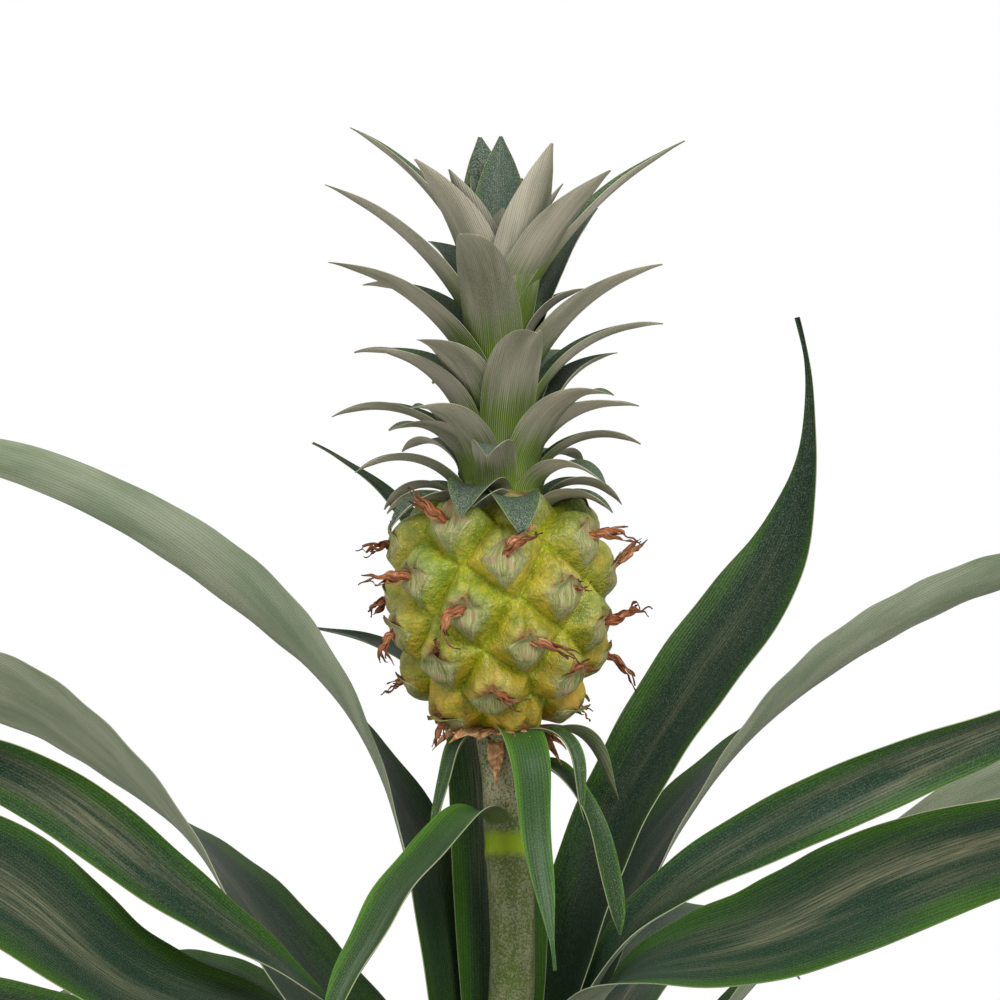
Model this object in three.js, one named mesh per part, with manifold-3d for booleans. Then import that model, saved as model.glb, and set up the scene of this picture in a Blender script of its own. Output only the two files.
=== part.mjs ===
import * as THREE from 'three';
import { mergeVertices } from 'three/addons/utils/BufferGeometryUtils.js';
import Module from 'manifold-3d';

// A dwarf ornamental pineapple in a plain nursery pot. Millimetres, +Z up, and the origin is the
// centre of the pot's flat underside. Azimuths are in degrees seen from above: 0 is the front
// (-Y), 90 is +X and 180 is the back. A lean is the angle from straight up.

const wasm = await Module();
wasm.setup();

const GOLDEN_ANGLE = 137.508;
const FIT_GAP = 0.3;
const MERGE_DISTANCE = 1e-4;

// Pot
const POT_HEIGHT = 120;
const POT_FOOT_RADIUS = 48;
const POT_SHOULDER_RADIUS = 63;
const POT_RIM_RADIUS = 70;
const POT_RIM_BAND = 14;
const POT_WALL = 2;
const POT_FLOOR = 3;
const POT_EDGE = 1.5;
const POT_SIDES = 40;
const POT_COLOR = 0x8a5138;
const DRAIN_HOLES = 6;
const DRAIN_RADIUS = 5;
const DRAIN_CIRCLE = 34;
const DRAIN_SIDES = 10;

// Soil: its lumps are sums of waves, each with its turns along X and Y and its share
const SOIL_TOP = 103;
const SOIL_LUMP = 1.2;
const SOIL_WAVES = [[0.31, 0.27, 1], [0.13, -0.19, 0.6]];
const SOIL_CALM = 8;
const SOIL_RINGS = 4;
const SOIL_SIDES = 32;
const SOIL_COLOR = 0x3a2a20;

// Stem: a stout leafy part, then the slender fruit stalk, which bows sideways by [height, shift]
const STEM_FOOT = 44;
const STEM_RADIUS = 18;
const STEM_FOOT_EDGE = 5;
const STEM_SIDES = 16;
const STEM_COLOR = 0x7f8a5c;
const STALK_START = 190;
const STALK_RADIUS = 8.3;
const STALK_WAIST = 260;
const STALK_WAIST_RADIUS = 7.9;
const STALK_NECK = 325;
const STALK_TOP = 343;
const STALK_COLLAR_RADIUS = 10;
const STALK_COLLAR_HEIGHT = 3;
const STALK_BOW = [[0, 0], [STALK_START, 0], [230, 2.6], [265, 4.4], [310, 2.6], [STALK_TOP, 1.3]];

// Bracts: the narrow leaves of the stalk, under the fruit
const BRACT_ROOT = 2;
const BRACT_WRAP = 40;
const BRACT_CUP = 28;
const BRACT_SEGMENTS = 6;
const BRACT_ACROSS = [-1, 0, 1];
const BRACTS = [
  { azimuth: 17, height: 340, length: 100, width: 17, leans: [55, 169, 158, 165],
    twist: 6, cup: 15, outline: [[0.12, 0.94], [0.4, 0.72], [0.7, 0.45], [0.9, 0.1], [1, 0.07]] },
  { azimuth: -62, height: 340, length: 46, width: 11, leans: [54, 147, 161, 165],
    twist: -11, cup: 27, outline: [[0.12, 1.03], [0.4, 0.81], [0.7, 0.54], [0.9, 0.3], [1, 0.05]] },
  { azimuth: 44, height: 338, length: 56, width: 9, leans: [55, 94, 170, 170],
    twist: 4, cup: 29, outline: [[0.12, 1.02], [0.4, 0.79], [0.7, 0.61], [0.9, 0.26], [1, 0.05]] },
  { azimuth: 124, height: 337, length: 57, width: 13, leans: [59, 90, 147, 160],
    twist: -7, outline: [[0.12, 0.99], [0.4, 0.92], [0.7, 0.53], [0.9, 0.21], [1, 0.07]] },
  { azimuth: 49, height: 329, length: 82, width: 13, leans: [62, 134, 165, 173],
    twist: 14, cup: 27, outline: [[0.12, 1.04], [0.4, 0.61], [0.7, 0.69], [0.9, 0.49], [1, 0.05]] },
  { azimuth: -33, height: 310, length: 137, width: 23, leans: [47, 117, 116, 131, 133, 163],
    twist: 12, outline: [[0.12, 0.68], [0.4, 0.84], [0.7, 0.77], [0.9, 0.38], [1, 0.03]] },
];

// Blades: the fine steps of the middle line, the sweep's growth, and where a twist lies
const BLADE_STEPS = 60;
const BLADE_SEGMENTS = 10;
const BLADE_ACROSS = [-1, -0.5, 0, 0.5, 1];
const BLADE_MIDDLE = 1.1;
const BLADE_EDGE = 0.7;
const SWEEP_POWER = 1.5;
const TWIST_FROM = 0.12;
const TWIST_TO = 0.75;
const GUTTER_NEAR = 0.1;
const GUTTER_NEAR_SHARE = 0.85;
const GUTTER_FAR = 0.35;
const GUTTER_FAR_SHARE = 1.2;

// Rosette leaves, from the innermost out
const LEAF_WRAP = 50;
const LEAF_CUP = 24;
const LEAF_SEAT = 0.6;
const LEAF_COLOR = 0x3f6b3a;
const LEAF_OUTLINE = [[0.22, 0.88], [0.45, 1], [0.68, 0.84], [0.85, 0.46], [0.95, 0.16], [1, 0.03]];
const SLENDER_OUTLINE = [[0.22, 0.9], [0.38, 1], [0.58, 0.82], [0.76, 0.4], [0.9, 0.14], [1, 0.03]];
const LEAVES = [
  { azimuth: 176, height: 184, length: 304, width: 35, leans: [3, 9, 16, 24, 46, 67], twist: -21,
    sweep: 69, outline: SLENDER_OUTLINE },
  { azimuth: 176, height: 177, length: 280, width: 20, leans: [6, 10, 22, 39, 72, 87], twist: -11,
    sweep: 66, wrap: 30 },
  { azimuth: 121, height: 171, length: 350, width: 39, leans: [8, 12, 21, 35, 40, 12, -18], twist: 30,
    sweep: -3, cup: 25,
    outline: [[0.22, 0.98], [0.45, 0.94], [0.68, 0.89], [0.85, 0.22], [0.95, 0.06], [1, 0.06]] },
  { azimuth: -134, height: 170, length: 480, width: 34, leans: [9, 12, 35, 55, 68, 79, 102], twist: 102,
    sweep: 5, cup: 28,
    outline: [[0.22, 1.21], [0.45, 0.91], [0.68, 0.57], [0.85, 0.44], [0.95, 0.16], [1, 0.03]] },
  { azimuth: 136, height: 162, length: 450, width: 38, leans: [12, 26, 45, 59, 69, 80, 107], twist: -54,
    sweep: -5, cup: 31, wrap: 38,
    outline: [[0.22, 0.88], [0.45, 1.12], [0.68, 0.78], [0.85, 0.53], [0.95, 0.16], [1, 0.03]] },
  { azimuth: -132, height: 160, length: 440, width: 56, leans: [21, 55, 45, 62, 69, 98, 118], twist: 55,
    sweep: -3, cup: 26,
    outline: [[0.22, 1.0], [0.45, 1.08], [0.68, 0.86], [0.85, 0.47], [0.95, 0.16], [1, 0.03]] },
  { azimuth: 79, height: 154, length: 430, width: 24, leans: [18, 7, 53, 65, 73, 92, 108], twist: 128,
    sweep: 48, cup: 30, wrap: 32 },
  { azimuth: -61, height: 153, length: 430, width: 24, leans: [24, 30, 55, 52, 76, 92, 106], twist: -139,
    sweep: 1, cup: 26 },
  { azimuth: 50, height: 147, length: 430, width: 41, leans: [23, 8, 75, 66, 74, 90, 108], twist: 118,
    sweep: -2, cup: 23,
    outline: [[0.22, 0.87], [0.45, 1.01], [0.68, 0.8], [0.85, 0.48], [0.95, 0.16], [1, 0.03]] },
  { azimuth: -61, height: 145, length: 430, width: 44, leans: [24, 32, 76, 50, 82, 94, 108], twist: -102,
    sweep: 3, outline: [[0.22, 0.91], [0.45, 1.02], [0.68, 0.81], [0.85, 0.46], [0.95, 0.16], [1, 0.03]] },
  { azimuth: 104, height: 141, length: 420, width: 33, leans: [28, 35, 45, 57, 83, 100, 114], twist: -58,
    sweep: -1 },
  { azimuth: -95, height: 139, length: 380, width: 34, leans: [34, 56, 80, 88, 118], twist: -51, sweep: 10,
    cup: 14 },
  { azimuth: 159, height: 138, length: 390, width: 34, leans: [31, 54, 78, 100, 118], twist: 20 },
  { azimuth: 24, height: 137, length: 370, width: 36, leans: [28, 58, 80, 100, 118], twist: 15 },
  { azimuth: -146, height: 132, length: 390, width: 34, leans: [38, 58, 80, 100, 118], twist: -25 },
  { azimuth: -22, height: 131, length: 390, width: 36, leans: [34, 62, 84, 102, 120], twist: -20 },
  { azimuth: 178, height: 126, length: 390, width: 34, leans: [44, 62, 82, 100, 118], twist: 15 },
  { azimuth: 48, height: 126, length: 380, width: 36, leans: [40, 64, 84, 104, 122], twist: 25 },
  { azimuth: -47, height: 122, length: 390, width: 36, leans: [42, 66, 86, 106, 124], twist: -25 },
  { azimuth: 126, height: 121, length: 370, width: 34, leans: [46, 64, 84, 102, 120], twist: -20 },
  { azimuth: 2, height: 116, length: 360, width: 34, leans: [50, 70, 90, 108, 124], twist: 10 },
  { azimuth: -120, height: 115, length: 370, width: 34, leans: [50, 66, 86, 104, 122], twist: 20 },
  { azimuth: 88, height: 112, length: 360, width: 34, leans: [52, 68, 88, 106, 122], twist: 20 },
];

// Fruit: its outline as shares of the radius and the height, its eyes, and how the skin swells
const FRUIT_BASE = STALK_TOP + FIT_GAP;
const FRUIT_TOP = 423.5;
const FRUIT_RADIUS = 36.6;
const FRUIT_OUTLINE = [
  [0, 0], [0.26, 0], [0.5, 0.05], [0.74, 0.15], [0.9, 0.3], [0.985, 0.48], [1, 0.66], [0.95, 0.82],
  [0.8, 0.93], [0.52, 0.99], [0.2, 1], [0, 1],
];
const FRUIT_COLUMNS = 56;
const FRUIT_ROWS = 26;
const FRUIT_COLOR = 0xa9a83c;
const EYES = 35;
const FIRST_EYE = 345;
const EYE_RISE = 2.27;
const EYE_START = 27.4;
const SWELL = 6;
const SWELL_SEAM = -0.15;
const SWELL_FULL = 0.7;
const SWELL_STARTS = 10;
const SWELL_ALL = 18;

// Dry florets, one out of each eye but the lowest and the highest. Each starts straight out of its
// eye. It then heads along the skin (0 is up, 90 to the right) and turns as it goes, while it
// stands off the skin by its rise, which changes by its lift.
const FIRST_FLORET = 3;
const LAST_FLORET = 29;
const FLORET_LENGTH = 9;
const FLORET_EXTRA = 6;
const FLORET_ROOT = 3;
const FLORET_RADIUS = 2;
const FLORET_TIP = 0.5;
const FLORET_BEND_FROM = 0.1;
const FLORET_BEND_TO = 0.4;
const FLORET_SEGMENTS = 6;
const FLORET_CORNERS = 3;
const FLORET_RULE = { heading: 180, headingSpread: 70, turnSpread: 120, rise: 88, riseSpread: 25, lift: -85 };

// The florets that were read off the fruit one by one, by the number of their eye
const FLORET_TRAITS = {
  3: { length: 9, heading: 120, turn: 20, rise: 40, lift: -10 },
  5: { length: 14, heading: 100, turn: 15, rise: 30, lift: -10 },
  7: { length: 11, heading: 180, turn: 0, rise: 50, lift: 25 },
  8: { length: 10, heading: 20, turn: 80, rise: 40, lift: 0 },
  10: { length: 9, heading: 0, turn: 60, rise: 35, lift: 0 },
  11: { length: 19, heading: 180, turn: 0, rise: 80, lift: -60 },
  13: { length: 19, heading: 85, turn: 45, rise: 15, lift: -20 },
  15: { length: 15, heading: 180, turn: 0, rise: 120, lift: -170 },
  16: { length: 20, heading: 170, turn: -330, rise: 55, lift: 0 },
  18: { length: 22, heading: -30, turn: -260, rise: 20, lift: -10 },
  20: { length: 12, heading: 180, turn: 0, rise: 85, lift: -60 },
  21: { length: 9, heading: 70, turn: 20, rise: 45, lift: -10 },
  23: { length: 19, heading: -95, turn: -15, rise: 50, lift: 0 },
  24: { length: 16, heading: 0, turn: 10, rise: 45, lift: 5 },
  26: { length: 17, heading: -5, turn: 95, rise: 25, lift: 0 },
  28: { length: 13, heading: 180, turn: 0, rise: 85, lift: -25 },
  29: { length: 19, heading: 60, turn: 50, rise: 55, lift: 0 },
};

// Crown: each rule runs over the leaves' numbers, from the lowest to the youngest
const CROWN_LEAVES = 49;
const CROWN_BASE = FRUIT_TOP + FIT_GAP;
const CROWN_FOOT_RADIUS = 19;
const CROWN_CORE_TOP = 508;
const CROWN_CORE_SIDES = 14;
const CROWN_CORE_STEPS = [10, 23, 39];
const CROWN_ROOT = 2;
const CROWN_FLESH = 1.8;
const CROWN_WRAP = 42;
const CROWN_CUP = 30;
const CROWN_ACROSS = [-1, 0, 1];
const CROWN_LONG_FROM = 30;
const CROWN_SHORT_SEGMENTS = 4;
const CROWN_LONG_SEGMENTS = 5;
const CROWN_LEAN_SPREAD = 6;
const CROWN_START = 3 + 10 * GOLDEN_ANGLE;
const CROWN_COLOR = 0x6f8266;
const CROWN_HEIGHTS = [[0, 424.6], [10, 431.5], [23, 452], [31, 473], [39, 491], [44, 499], [49, 504]];
const CROWN_CORE = [[0, 19], [10, 17.5], [23, 14.5], [39, 9], [49, 5]];
const CROWN_LENGTHS = [
  [0, 31], [8, 35], [16, 45], [21, 54], [29, 63], [37, 74], [41, 78], [44, 58], [47, 48], [49, 44],
];
const CROWN_LEANS = [
  [0, 106], [8, 81], [16, 71], [21, 58], [29, 51], [37, 50], [41, 46], [44, 26], [47, 12], [49, 4],
];
const CROWN_CURLS = [
  [0, 46], [8, 45], [16, 38], [21, 34], [29, 32], [37, 28], [41, 25], [44, 12], [47, 6], [49, 2],
];
const CROWN_WIDTHS = [[0, 13], [10, 16], [20, 20], [40, 22], [46, 18], [49, 15]];
const CROWN_OUTLINE = [[0.3, 1], [0.55, 0.86], [0.8, 0.48], [0.93, 0.2], [1, 0.05]];

// How single leaves of the crown depart from the rules, as they grew
const CROWN_TRAITS = {
  8: { height: -2, length: 5, lean: 4 },
  10: { azimuth: -8, height: -1, length: 3 },
  12: { azimuth: 8 },
  15: { azimuth: 4, height: -3, length: 14, lean: -9, curl: 4 },
  16: { length: 7, lean: 6 },
  17: { length: 5, lean: -23 },
  18: { azimuth: -14, height: -10, length: 4 },
  20: { height: -7, length: -8, lean: 6 },
  21: { length: -8, lean: -6 },
  23: { azimuth: -4, height: -7, length: 9, curl: 8 },
  24: { lean: 10 },
  25: { lean: 5 },
  26: { height: -6, length: -14 },
  28: { azimuth: 20, length: 4, curl: -6 },
  29: { azimuth: 18, length: 4, lean: 3, curl: -5 },
  30: { length: 6, lean: -16, curl: -12 },
  31: { azimuth: -7, height: -7, length: 12, curl: 10 },
  32: { azimuth: 25, length: -13, lean: 9 },
  33: { azimuth: 20, length: -38 },
  34: { azimuth: -25, length: 6, lean: -7, curl: -8 },
  36: { length: -4, lean: -25, curl: -16 },
  37: { azimuth: -30, length: -30 },
  38: { azimuth: -10, length: 12, lean: -6, curl: -9 },
  39: { azimuth: -20, length: -17, lean: -12, curl: -6 },
  40: { length: -18, lean: -34, curl: -20 },
  41: { azimuth: -10, height: -6, length: -13, width: 3, lean: -3, curl: -8 },
  42: { azimuth: -25, length: 4, lean: -1 },
  43: { length: -14, lean: -24, curl: -12 },
  44: { length: -32, lean: -20 },
  45: { length: -4, lean: -12 },
  46: { length: -14, lean: 12 },
  47: { length: -6, lean: 18 },
  48: { length: 2, width: 4, lean: -2 },
};

const radians = THREE.MathUtils.degToRad;
const plant = new THREE.Group();

/** A repeatable number from 0 to 1 for a piece and a purpose. */
function draw(piece, purpose) {
  return THREE.MathUtils.euclideanModulo(Math.sin(piece * 12.9898 + purpose * 78.233) * 43758.5453, 1);
}

/** A smooth curve through hand-set [x, y] stations, with the slope of its neighbours at each. */
function through(stations) {
  const last = stations.length - 1;
  const slope = (i) => {
    const [x0, y0] = stations[Math.max(i - 1, 0)];
    const [x1, y1] = stations[Math.min(i + 1, last)];
    return (y1 - y0) / (x1 - x0);
  };
  return (x) => {
    let i = 0;
    while (i < last - 1 && x > stations[i + 1][0]) i += 1;
    const [x0, y0] = stations[i];
    const [x1, y1] = stations[i + 1];
    const span = x1 - x0;
    const t = THREE.MathUtils.clamp((x - x0) / span, 0, 1);
    const t2 = t * t;
    const t3 = t2 * t;
    return (2 * t3 - 3 * t2 + 1) * y0 + (t3 - 2 * t2 + t) * span * slope(i)
      + (3 * t2 - 2 * t3) * y1 + (t3 - t2) * span * slope(i + 1);
  };
}

/** The unit vectors of a blade: along it, across it to the right, and out of its upper side. */
function bladeFrame(azimuth, lean, roll) {
  const along = new THREE.Vector3(
    Math.sin(lean) * Math.sin(azimuth), -Math.sin(lean) * Math.cos(azimuth), Math.cos(lean));
  const flat = new THREE.Vector3(Math.cos(azimuth), Math.sin(azimuth), 0);
  const up = new THREE.Vector3().crossVectors(along, flat);
  const across = flat.clone().multiplyScalar(Math.cos(roll)).addScaledVector(up, Math.sin(roll));
  up.multiplyScalar(Math.cos(roll)).addScaledVector(flat, -Math.sin(roll));
  return { along, across, up };
}

/** The points of one gutter-shaped cross-section: its outer face, then its inner face. */
function gutter(centre, frame, halfWidth, opening, acrossShares) {
  const bend = halfWidth / opening;
  const points = [];
  for (const face of [0, 1]) {
    for (const share of acrossShares) {
      const angle = opening * share;
      const thick = face * (BLADE_EDGE + (BLADE_MIDDLE - BLADE_EDGE) * (1 - share * share));
      const out = (bend + thick) * Math.sin(angle);
      const rise = bend * (1 - Math.cos(angle)) - thick * Math.cos(angle);
      points.push(centre.clone().addScaledVector(frame.across, out).addScaledVector(frame.up, rise));
    }
  }
  return points;
}

/**
 * A closed gutter-shaped blade. Its middle line leaves (radius, height) at the azimuth and follows
 * the lean stations. Each cross-section is an arc, which opens from the gutter at the root.
 */
function bladeGeometry(blade) {
  const { azimuth, height, radius, rootRadius, length, width, leans, outline, wrap, cup } = blade;
  const { sweep = 0, twist = 0, segments = BLADE_SEGMENTS, across = BLADE_ACROSS } = blade;
  const lean = through(leans.map((value, i) => [i / (leans.length - 1), value]));
  const rootShare = radians(wrap) * rootRadius / (width / 2);
  const share = through([[0, rootShare], ...outline]);
  const opening = through([
    [0, wrap], [GUTTER_NEAR, wrap * GUTTER_NEAR_SHARE], [GUTTER_FAR, cup * GUTTER_FAR_SHARE], [1, cup],
  ]);
  const start = radians(azimuth);
  const centre = new THREE.Vector3(radius * Math.sin(start), -radius * Math.cos(start), height);
  const halfStep = length / BLADE_STEPS / 2;
  const points = [];
  let frame;
  let nextRing = 0;
  for (let step = 0; step <= BLADE_STEPS; step += 1) {
    const s = step / BLADE_STEPS;
    const roll = radians(twist * THREE.MathUtils.smoothstep(s, TWIST_FROM, TWIST_TO));
    const next = bladeFrame(radians(azimuth + sweep * s ** SWEEP_POWER), radians(lean(s)), roll);
    if (frame) centre.addScaledVector(frame.along, halfStep).addScaledVector(next.along, halfStep);
    frame = next;
    if (step < Math.round(nextRing * BLADE_STEPS / segments)) continue;
    points.push(...gutter(centre, frame, width / 2 * share(s), radians(opening(s)), across));
    nextRing += 1;
  }
  return sheetGeometry(points, segments, across.length);
}

/** Joins rings of upper and lower points into one closed sheet, split alike on both faces. */
function sheetGeometry(points, segments, count) {
  const index = [];
  const quad = (a, b, c, d) => index.push(a, b, c, a, c, d);
  const right = count - 1;
  for (let i = 0; i < segments; i += 1) {
    const here = i * 2 * count;
    const next = here + 2 * count;
    for (let j = 0; j < right; j += 1) {
      const low = count + j;
      quad(here + j, next + j, next + j + 1, here + j + 1);
      index.push(here + low, here + low + 1, next + low + 1);
      index.push(here + low, next + low + 1, next + low);
    }
    quad(here, here + count, next + count, next);
    quad(here + right, next + right, next + right + count, here + right + count);
  }
  const end = segments * 2 * count;
  for (let j = 0; j < right; j += 1) {
    quad(j, j + 1, count + j + 1, count + j);
    quad(end + j, end + count + j, end + count + j + 1, end + j + 1);
  }
  const geometry = new THREE.BufferGeometry().setFromPoints(points);
  geometry.setIndex(index);
  return geometry;
}

/** A turned body about the vertical axis, from [radius, height] points listed bottom to top. */
function turned(profile, sides) {
  const outline = profile.map(([r, z]) => new THREE.Vector2(r, z));
  const geometry = new THREE.LatheGeometry(outline, sides);
  geometry.rotateX(Math.PI / 2);
  return geometry;
}

/** A geometry without its normals, with the points that meet merged into one. */
function merged(geometry) {
  const bare = geometry.clone();
  bare.deleteAttribute('normal');
  bare.deleteAttribute('uv');
  return mergeVertices(bare, MERGE_DISTANCE);
}

/** A geometry as a solid that can be joined and cut. */
function solid(geometry) {
  const closed = merged(geometry);
  const corners = closed.index.array;
  const kept = [];
  for (let i = 0; i < corners.length; i += 3) {
    const [a, b, c] = corners.subarray(i, i + 3);
    if (a !== b && b !== c && c !== a) kept.push(a, b, c);
  }
  return new wasm.Manifold(new wasm.Mesh({
    numProp: 3,
    vertProperties: new Float32Array(closed.attributes.position.array),
    triVerts: new Uint32Array(kept),
  }));
}

/** A solid back as a geometry. */
function geometryOf(body) {
  const mesh = body.getMesh();
  const geometry = new THREE.BufferGeometry();
  geometry.setAttribute('position', new THREE.BufferAttribute(new Float32Array(mesh.vertProperties), 3));
  geometry.setIndex(new THREE.BufferAttribute(new Uint32Array(mesh.triVerts), 1));
  return geometry;
}

/** Puts a named piece into the plant, with its colour and roughness. */
function addPiece(name, geometry, color, roughness) {
  const material = new THREE.MeshStandardMaterial({ color, roughness, metalness: 0 });
  const mesh = new THREE.Mesh(geometry, material);
  mesh.name = name;
  plant.add(mesh);
}

// Pot: a thin tapered shell with a stepped rim band and a ring of drainage holes in its floor.
const shoulderHeight = POT_HEIGHT - POT_RIM_BAND;
const rimInside = POT_RIM_RADIUS - POT_WALL;
let pot = solid(turned([
  [0, 0],
  [POT_FOOT_RADIUS - POT_EDGE, 0],
  [POT_FOOT_RADIUS, POT_EDGE],
  [POT_SHOULDER_RADIUS, shoulderHeight],
  [POT_RIM_RADIUS - POT_EDGE, shoulderHeight],
  [POT_RIM_RADIUS, shoulderHeight + POT_EDGE],
  [POT_RIM_RADIUS, POT_HEIGHT - POT_EDGE],
  [POT_RIM_RADIUS - POT_WALL / 2, POT_HEIGHT],
  [rimInside, POT_HEIGHT - POT_WALL / 2],
  [rimInside, shoulderHeight + POT_WALL],
  [POT_SHOULDER_RADIUS - POT_WALL, shoulderHeight],
  [POT_FOOT_RADIUS - POT_WALL, POT_FLOOR],
  [0, POT_FLOOR],
], POT_SIDES));
for (let hole = 0; hole < DRAIN_HOLES; hole += 1) {
  const angle = hole / DRAIN_HOLES * 2 * Math.PI;
  const cutter = new THREE.CylinderGeometry(DRAIN_RADIUS, DRAIN_RADIUS, POT_FLOOR * 3, DRAIN_SIDES);
  cutter.rotateX(Math.PI / 2);
  cutter.translate(DRAIN_CIRCLE * Math.cos(angle), DRAIN_CIRCLE * Math.sin(angle), POT_FLOOR / 2);
  pot = pot.subtract(solid(cutter));
}
addPiece('pot', geometryOf(pot), POT_COLOR, 0.55);

// Soil: fills the pot to below the rim, lumpy on top, with a plain blind hole for the stem.
const soilFloor = POT_FLOOR + FIT_GAP;
const soilFoot = POT_FOOT_RADIUS - POT_WALL - 2 * FIT_GAP;
const wallSlope = (POT_SHOULDER_RADIUS - POT_FOOT_RADIUS) / (shoulderHeight - POT_FLOOR);
const soilRim = soilFoot + wallSlope * (SOIL_TOP - POT_FLOOR);
const holeRadius = STEM_RADIUS + FIT_GAP;
const soilProfile = [[0, soilFloor], [soilFoot, soilFloor]];
for (let ring = 0; ring <= SOIL_RINGS; ring += 1) {
  soilProfile.push([THREE.MathUtils.lerp(soilRim, holeRadius, ring / SOIL_RINGS), SOIL_TOP]);
}
soilProfile.push([holeRadius, STEM_FOOT - FIT_GAP], [0, STEM_FOOT - FIT_GAP]);
const soil = turned(soilProfile, SOIL_SIDES);
const soilPoints = soil.attributes.position;
for (let i = 0; i < soilPoints.count; i += 1) {
  const x = soilPoints.getX(i);
  const y = soilPoints.getY(i);
  const calm = THREE.MathUtils.smoothstep(Math.hypot(x, y), holeRadius, holeRadius + SOIL_CALM);
  const lump = SOIL_WAVES.reduce((sum, [alongX, alongY, share]) => (
    sum + share * Math.sin(alongX * x + alongY * y)), 0);
  if (soilPoints.getZ(i) > SOIL_TOP - FIT_GAP) soilPoints.setZ(i, SOIL_TOP + SOIL_LUMP * lump * calm);
}
addPiece('soil', geometryOf(solid(soil)), SOIL_COLOR, 0.95);

// Stem: stands in the soil, tapers through the rosette and carries the fruit on its stalk, with
// the bracts grown out of it. The stalk bows a little to one side.
let stem = solid(turned([
  [0, STEM_FOOT],
  [STEM_RADIUS - STEM_FOOT_EDGE, STEM_FOOT],
  [STEM_RADIUS, STEM_FOOT + STEM_FOOT_EDGE],
  [STEM_RADIUS, SOIL_TOP],
  [STALK_RADIUS, STALK_START],
  [STALK_WAIST_RADIUS, STALK_WAIST],
  [STALK_RADIUS, STALK_NECK],
  [STALK_COLLAR_RADIUS, STALK_TOP - STALK_COLLAR_HEIGHT],
  [STALK_COLLAR_RADIUS, STALK_TOP],
  [0, STALK_TOP],
], STEM_SIDES));
for (const bract of BRACTS) {
  stem = stem.add(solid(bladeGeometry({
    radius: STALK_RADIUS - BRACT_ROOT,
    rootRadius: STALK_RADIUS,
    wrap: BRACT_WRAP,
    cup: BRACT_CUP,
    segments: BRACT_SEGMENTS,
    across: BRACT_ACROSS,
    ...bract,
  })));
}
const bow = through(STALK_BOW);
const stemGeometry = geometryOf(stem);
const stemPoints = stemGeometry.attributes.position;
for (let i = 0; i < stemPoints.count; i += 1) {
  stemPoints.setX(i, stemPoints.getX(i) + bow(stemPoints.getZ(i)));
}
addPiece('stem', stemGeometry, STEM_COLOR, 0.7);

// Rosette: each large leaf clasps the stem and arches over. The upper ones stand inside the rest.
const stemTaper = (STEM_RADIUS - STALK_RADIUS) / (STALK_START - SOIL_TOP);
const upward = [...LEAVES].sort((a, b) => a.height - b.height);
upward.forEach((leaf, i) => {
  const upright = Math.cos(radians(leaf.leans[0]));
  const clear = FIT_GAP + LEAF_SEAT * upright * upright;
  const seat = STEM_RADIUS - stemTaper * (leaf.height - SOIL_TOP) + clear;
  const blade = bladeGeometry({
    radius: seat, rootRadius: seat, wrap: LEAF_WRAP, cup: LEAF_CUP, outline: LEAF_OUTLINE, ...leaf,
  });
  addPiece(`leaf_${String(i + 1).padStart(2, '0')}`, geometryOf(solid(blade)), LEAF_COLOR, 0.5);
});

// Fruit: a barrel of fruitlets wound on a golden-angle spiral, swelling between sunk seams, each
// with a curled dry floret standing out of its eye.
const fruitCurve = new THREE.SplineCurve(FRUIT_OUTLINE.map(([radius, height]) => (
  new THREE.Vector2(radius * FRUIT_RADIUS, FRUIT_BASE + height * (FRUIT_TOP - FRUIT_BASE)))));
const fruitRows = fruitCurve.getSpacedPoints(FRUIT_ROWS);
fruitRows[0].x = 0;
fruitRows[FRUIT_ROWS].x = 0;

/** The bare fruit's radius at a height. */
function fruitRadius(height) {
  const above = fruitRows.findIndex((point) => point.y >= height);
  const low = fruitRows[above - 1];
  const high = fruitRows[above];
  return THREE.MathUtils.mapLinear(height, low.y, high.y, low.x, high.x);
}

const eyes = [];
for (let i = 0; i < EYES; i += 1) {
  const height = FIRST_EYE + EYE_RISE * i;
  const azimuth = radians(EYE_START + GOLDEN_ANGLE * i);
  const radius = fruitRadius(height);
  eyes.push(new THREE.Vector3(radius * Math.sin(azimuth), -radius * Math.cos(azimuth), height));
}

/** How far the skin stands out at a point: full over an eye, sunk along the seam between two. */
function swell(point) {
  const [nearest, second] = eyes.map((eye) => point.distanceTo(eye)).sort((a, b) => a - b);
  const inside = (second - nearest) / (second + nearest);
  return SWELL * (THREE.MathUtils.smoothstep(inside, SWELL_SEAM, SWELL_FULL) - 0.5);
}

const skin = merged(turned(fruitRows.map((point) => [point.x, point.y]), FRUIT_COLUMNS));
skin.computeVertexNormals();
const skinPoints = skin.attributes.position;
for (let i = 0; i < skinPoints.count; i += 1) {
  const point = new THREE.Vector3().fromBufferAttribute(skinPoints, i);
  const normal = new THREE.Vector3().fromBufferAttribute(skin.attributes.normal, i);
  const away = THREE.MathUtils.smoothstep(Math.hypot(point.x, point.y), SWELL_STARTS, SWELL_ALL);
  point.addScaledVector(normal, swell(point) * away);
  point.z = Math.min(point.z, FRUIT_TOP);
  skinPoints.setXYZ(i, point.x, point.y, point.z);
}

/** How the floret with this number lies: its own traits, or what the rule draws. */
function floretTraits(i) {
  const { heading, headingSpread, turnSpread, rise, riseSpread, lift } = FLORET_RULE;
  return FLORET_TRAITS[i] ?? {
    length: FLORET_LENGTH + FLORET_EXTRA * draw(i, 1),
    heading: heading + headingSpread * (draw(i, 2) - 0.5),
    turn: turnSpread * (draw(i, 3) - 0.5),
    rise: rise + riseSpread * (draw(i, 5) - 0.5),
    lift,
  };
}

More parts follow.
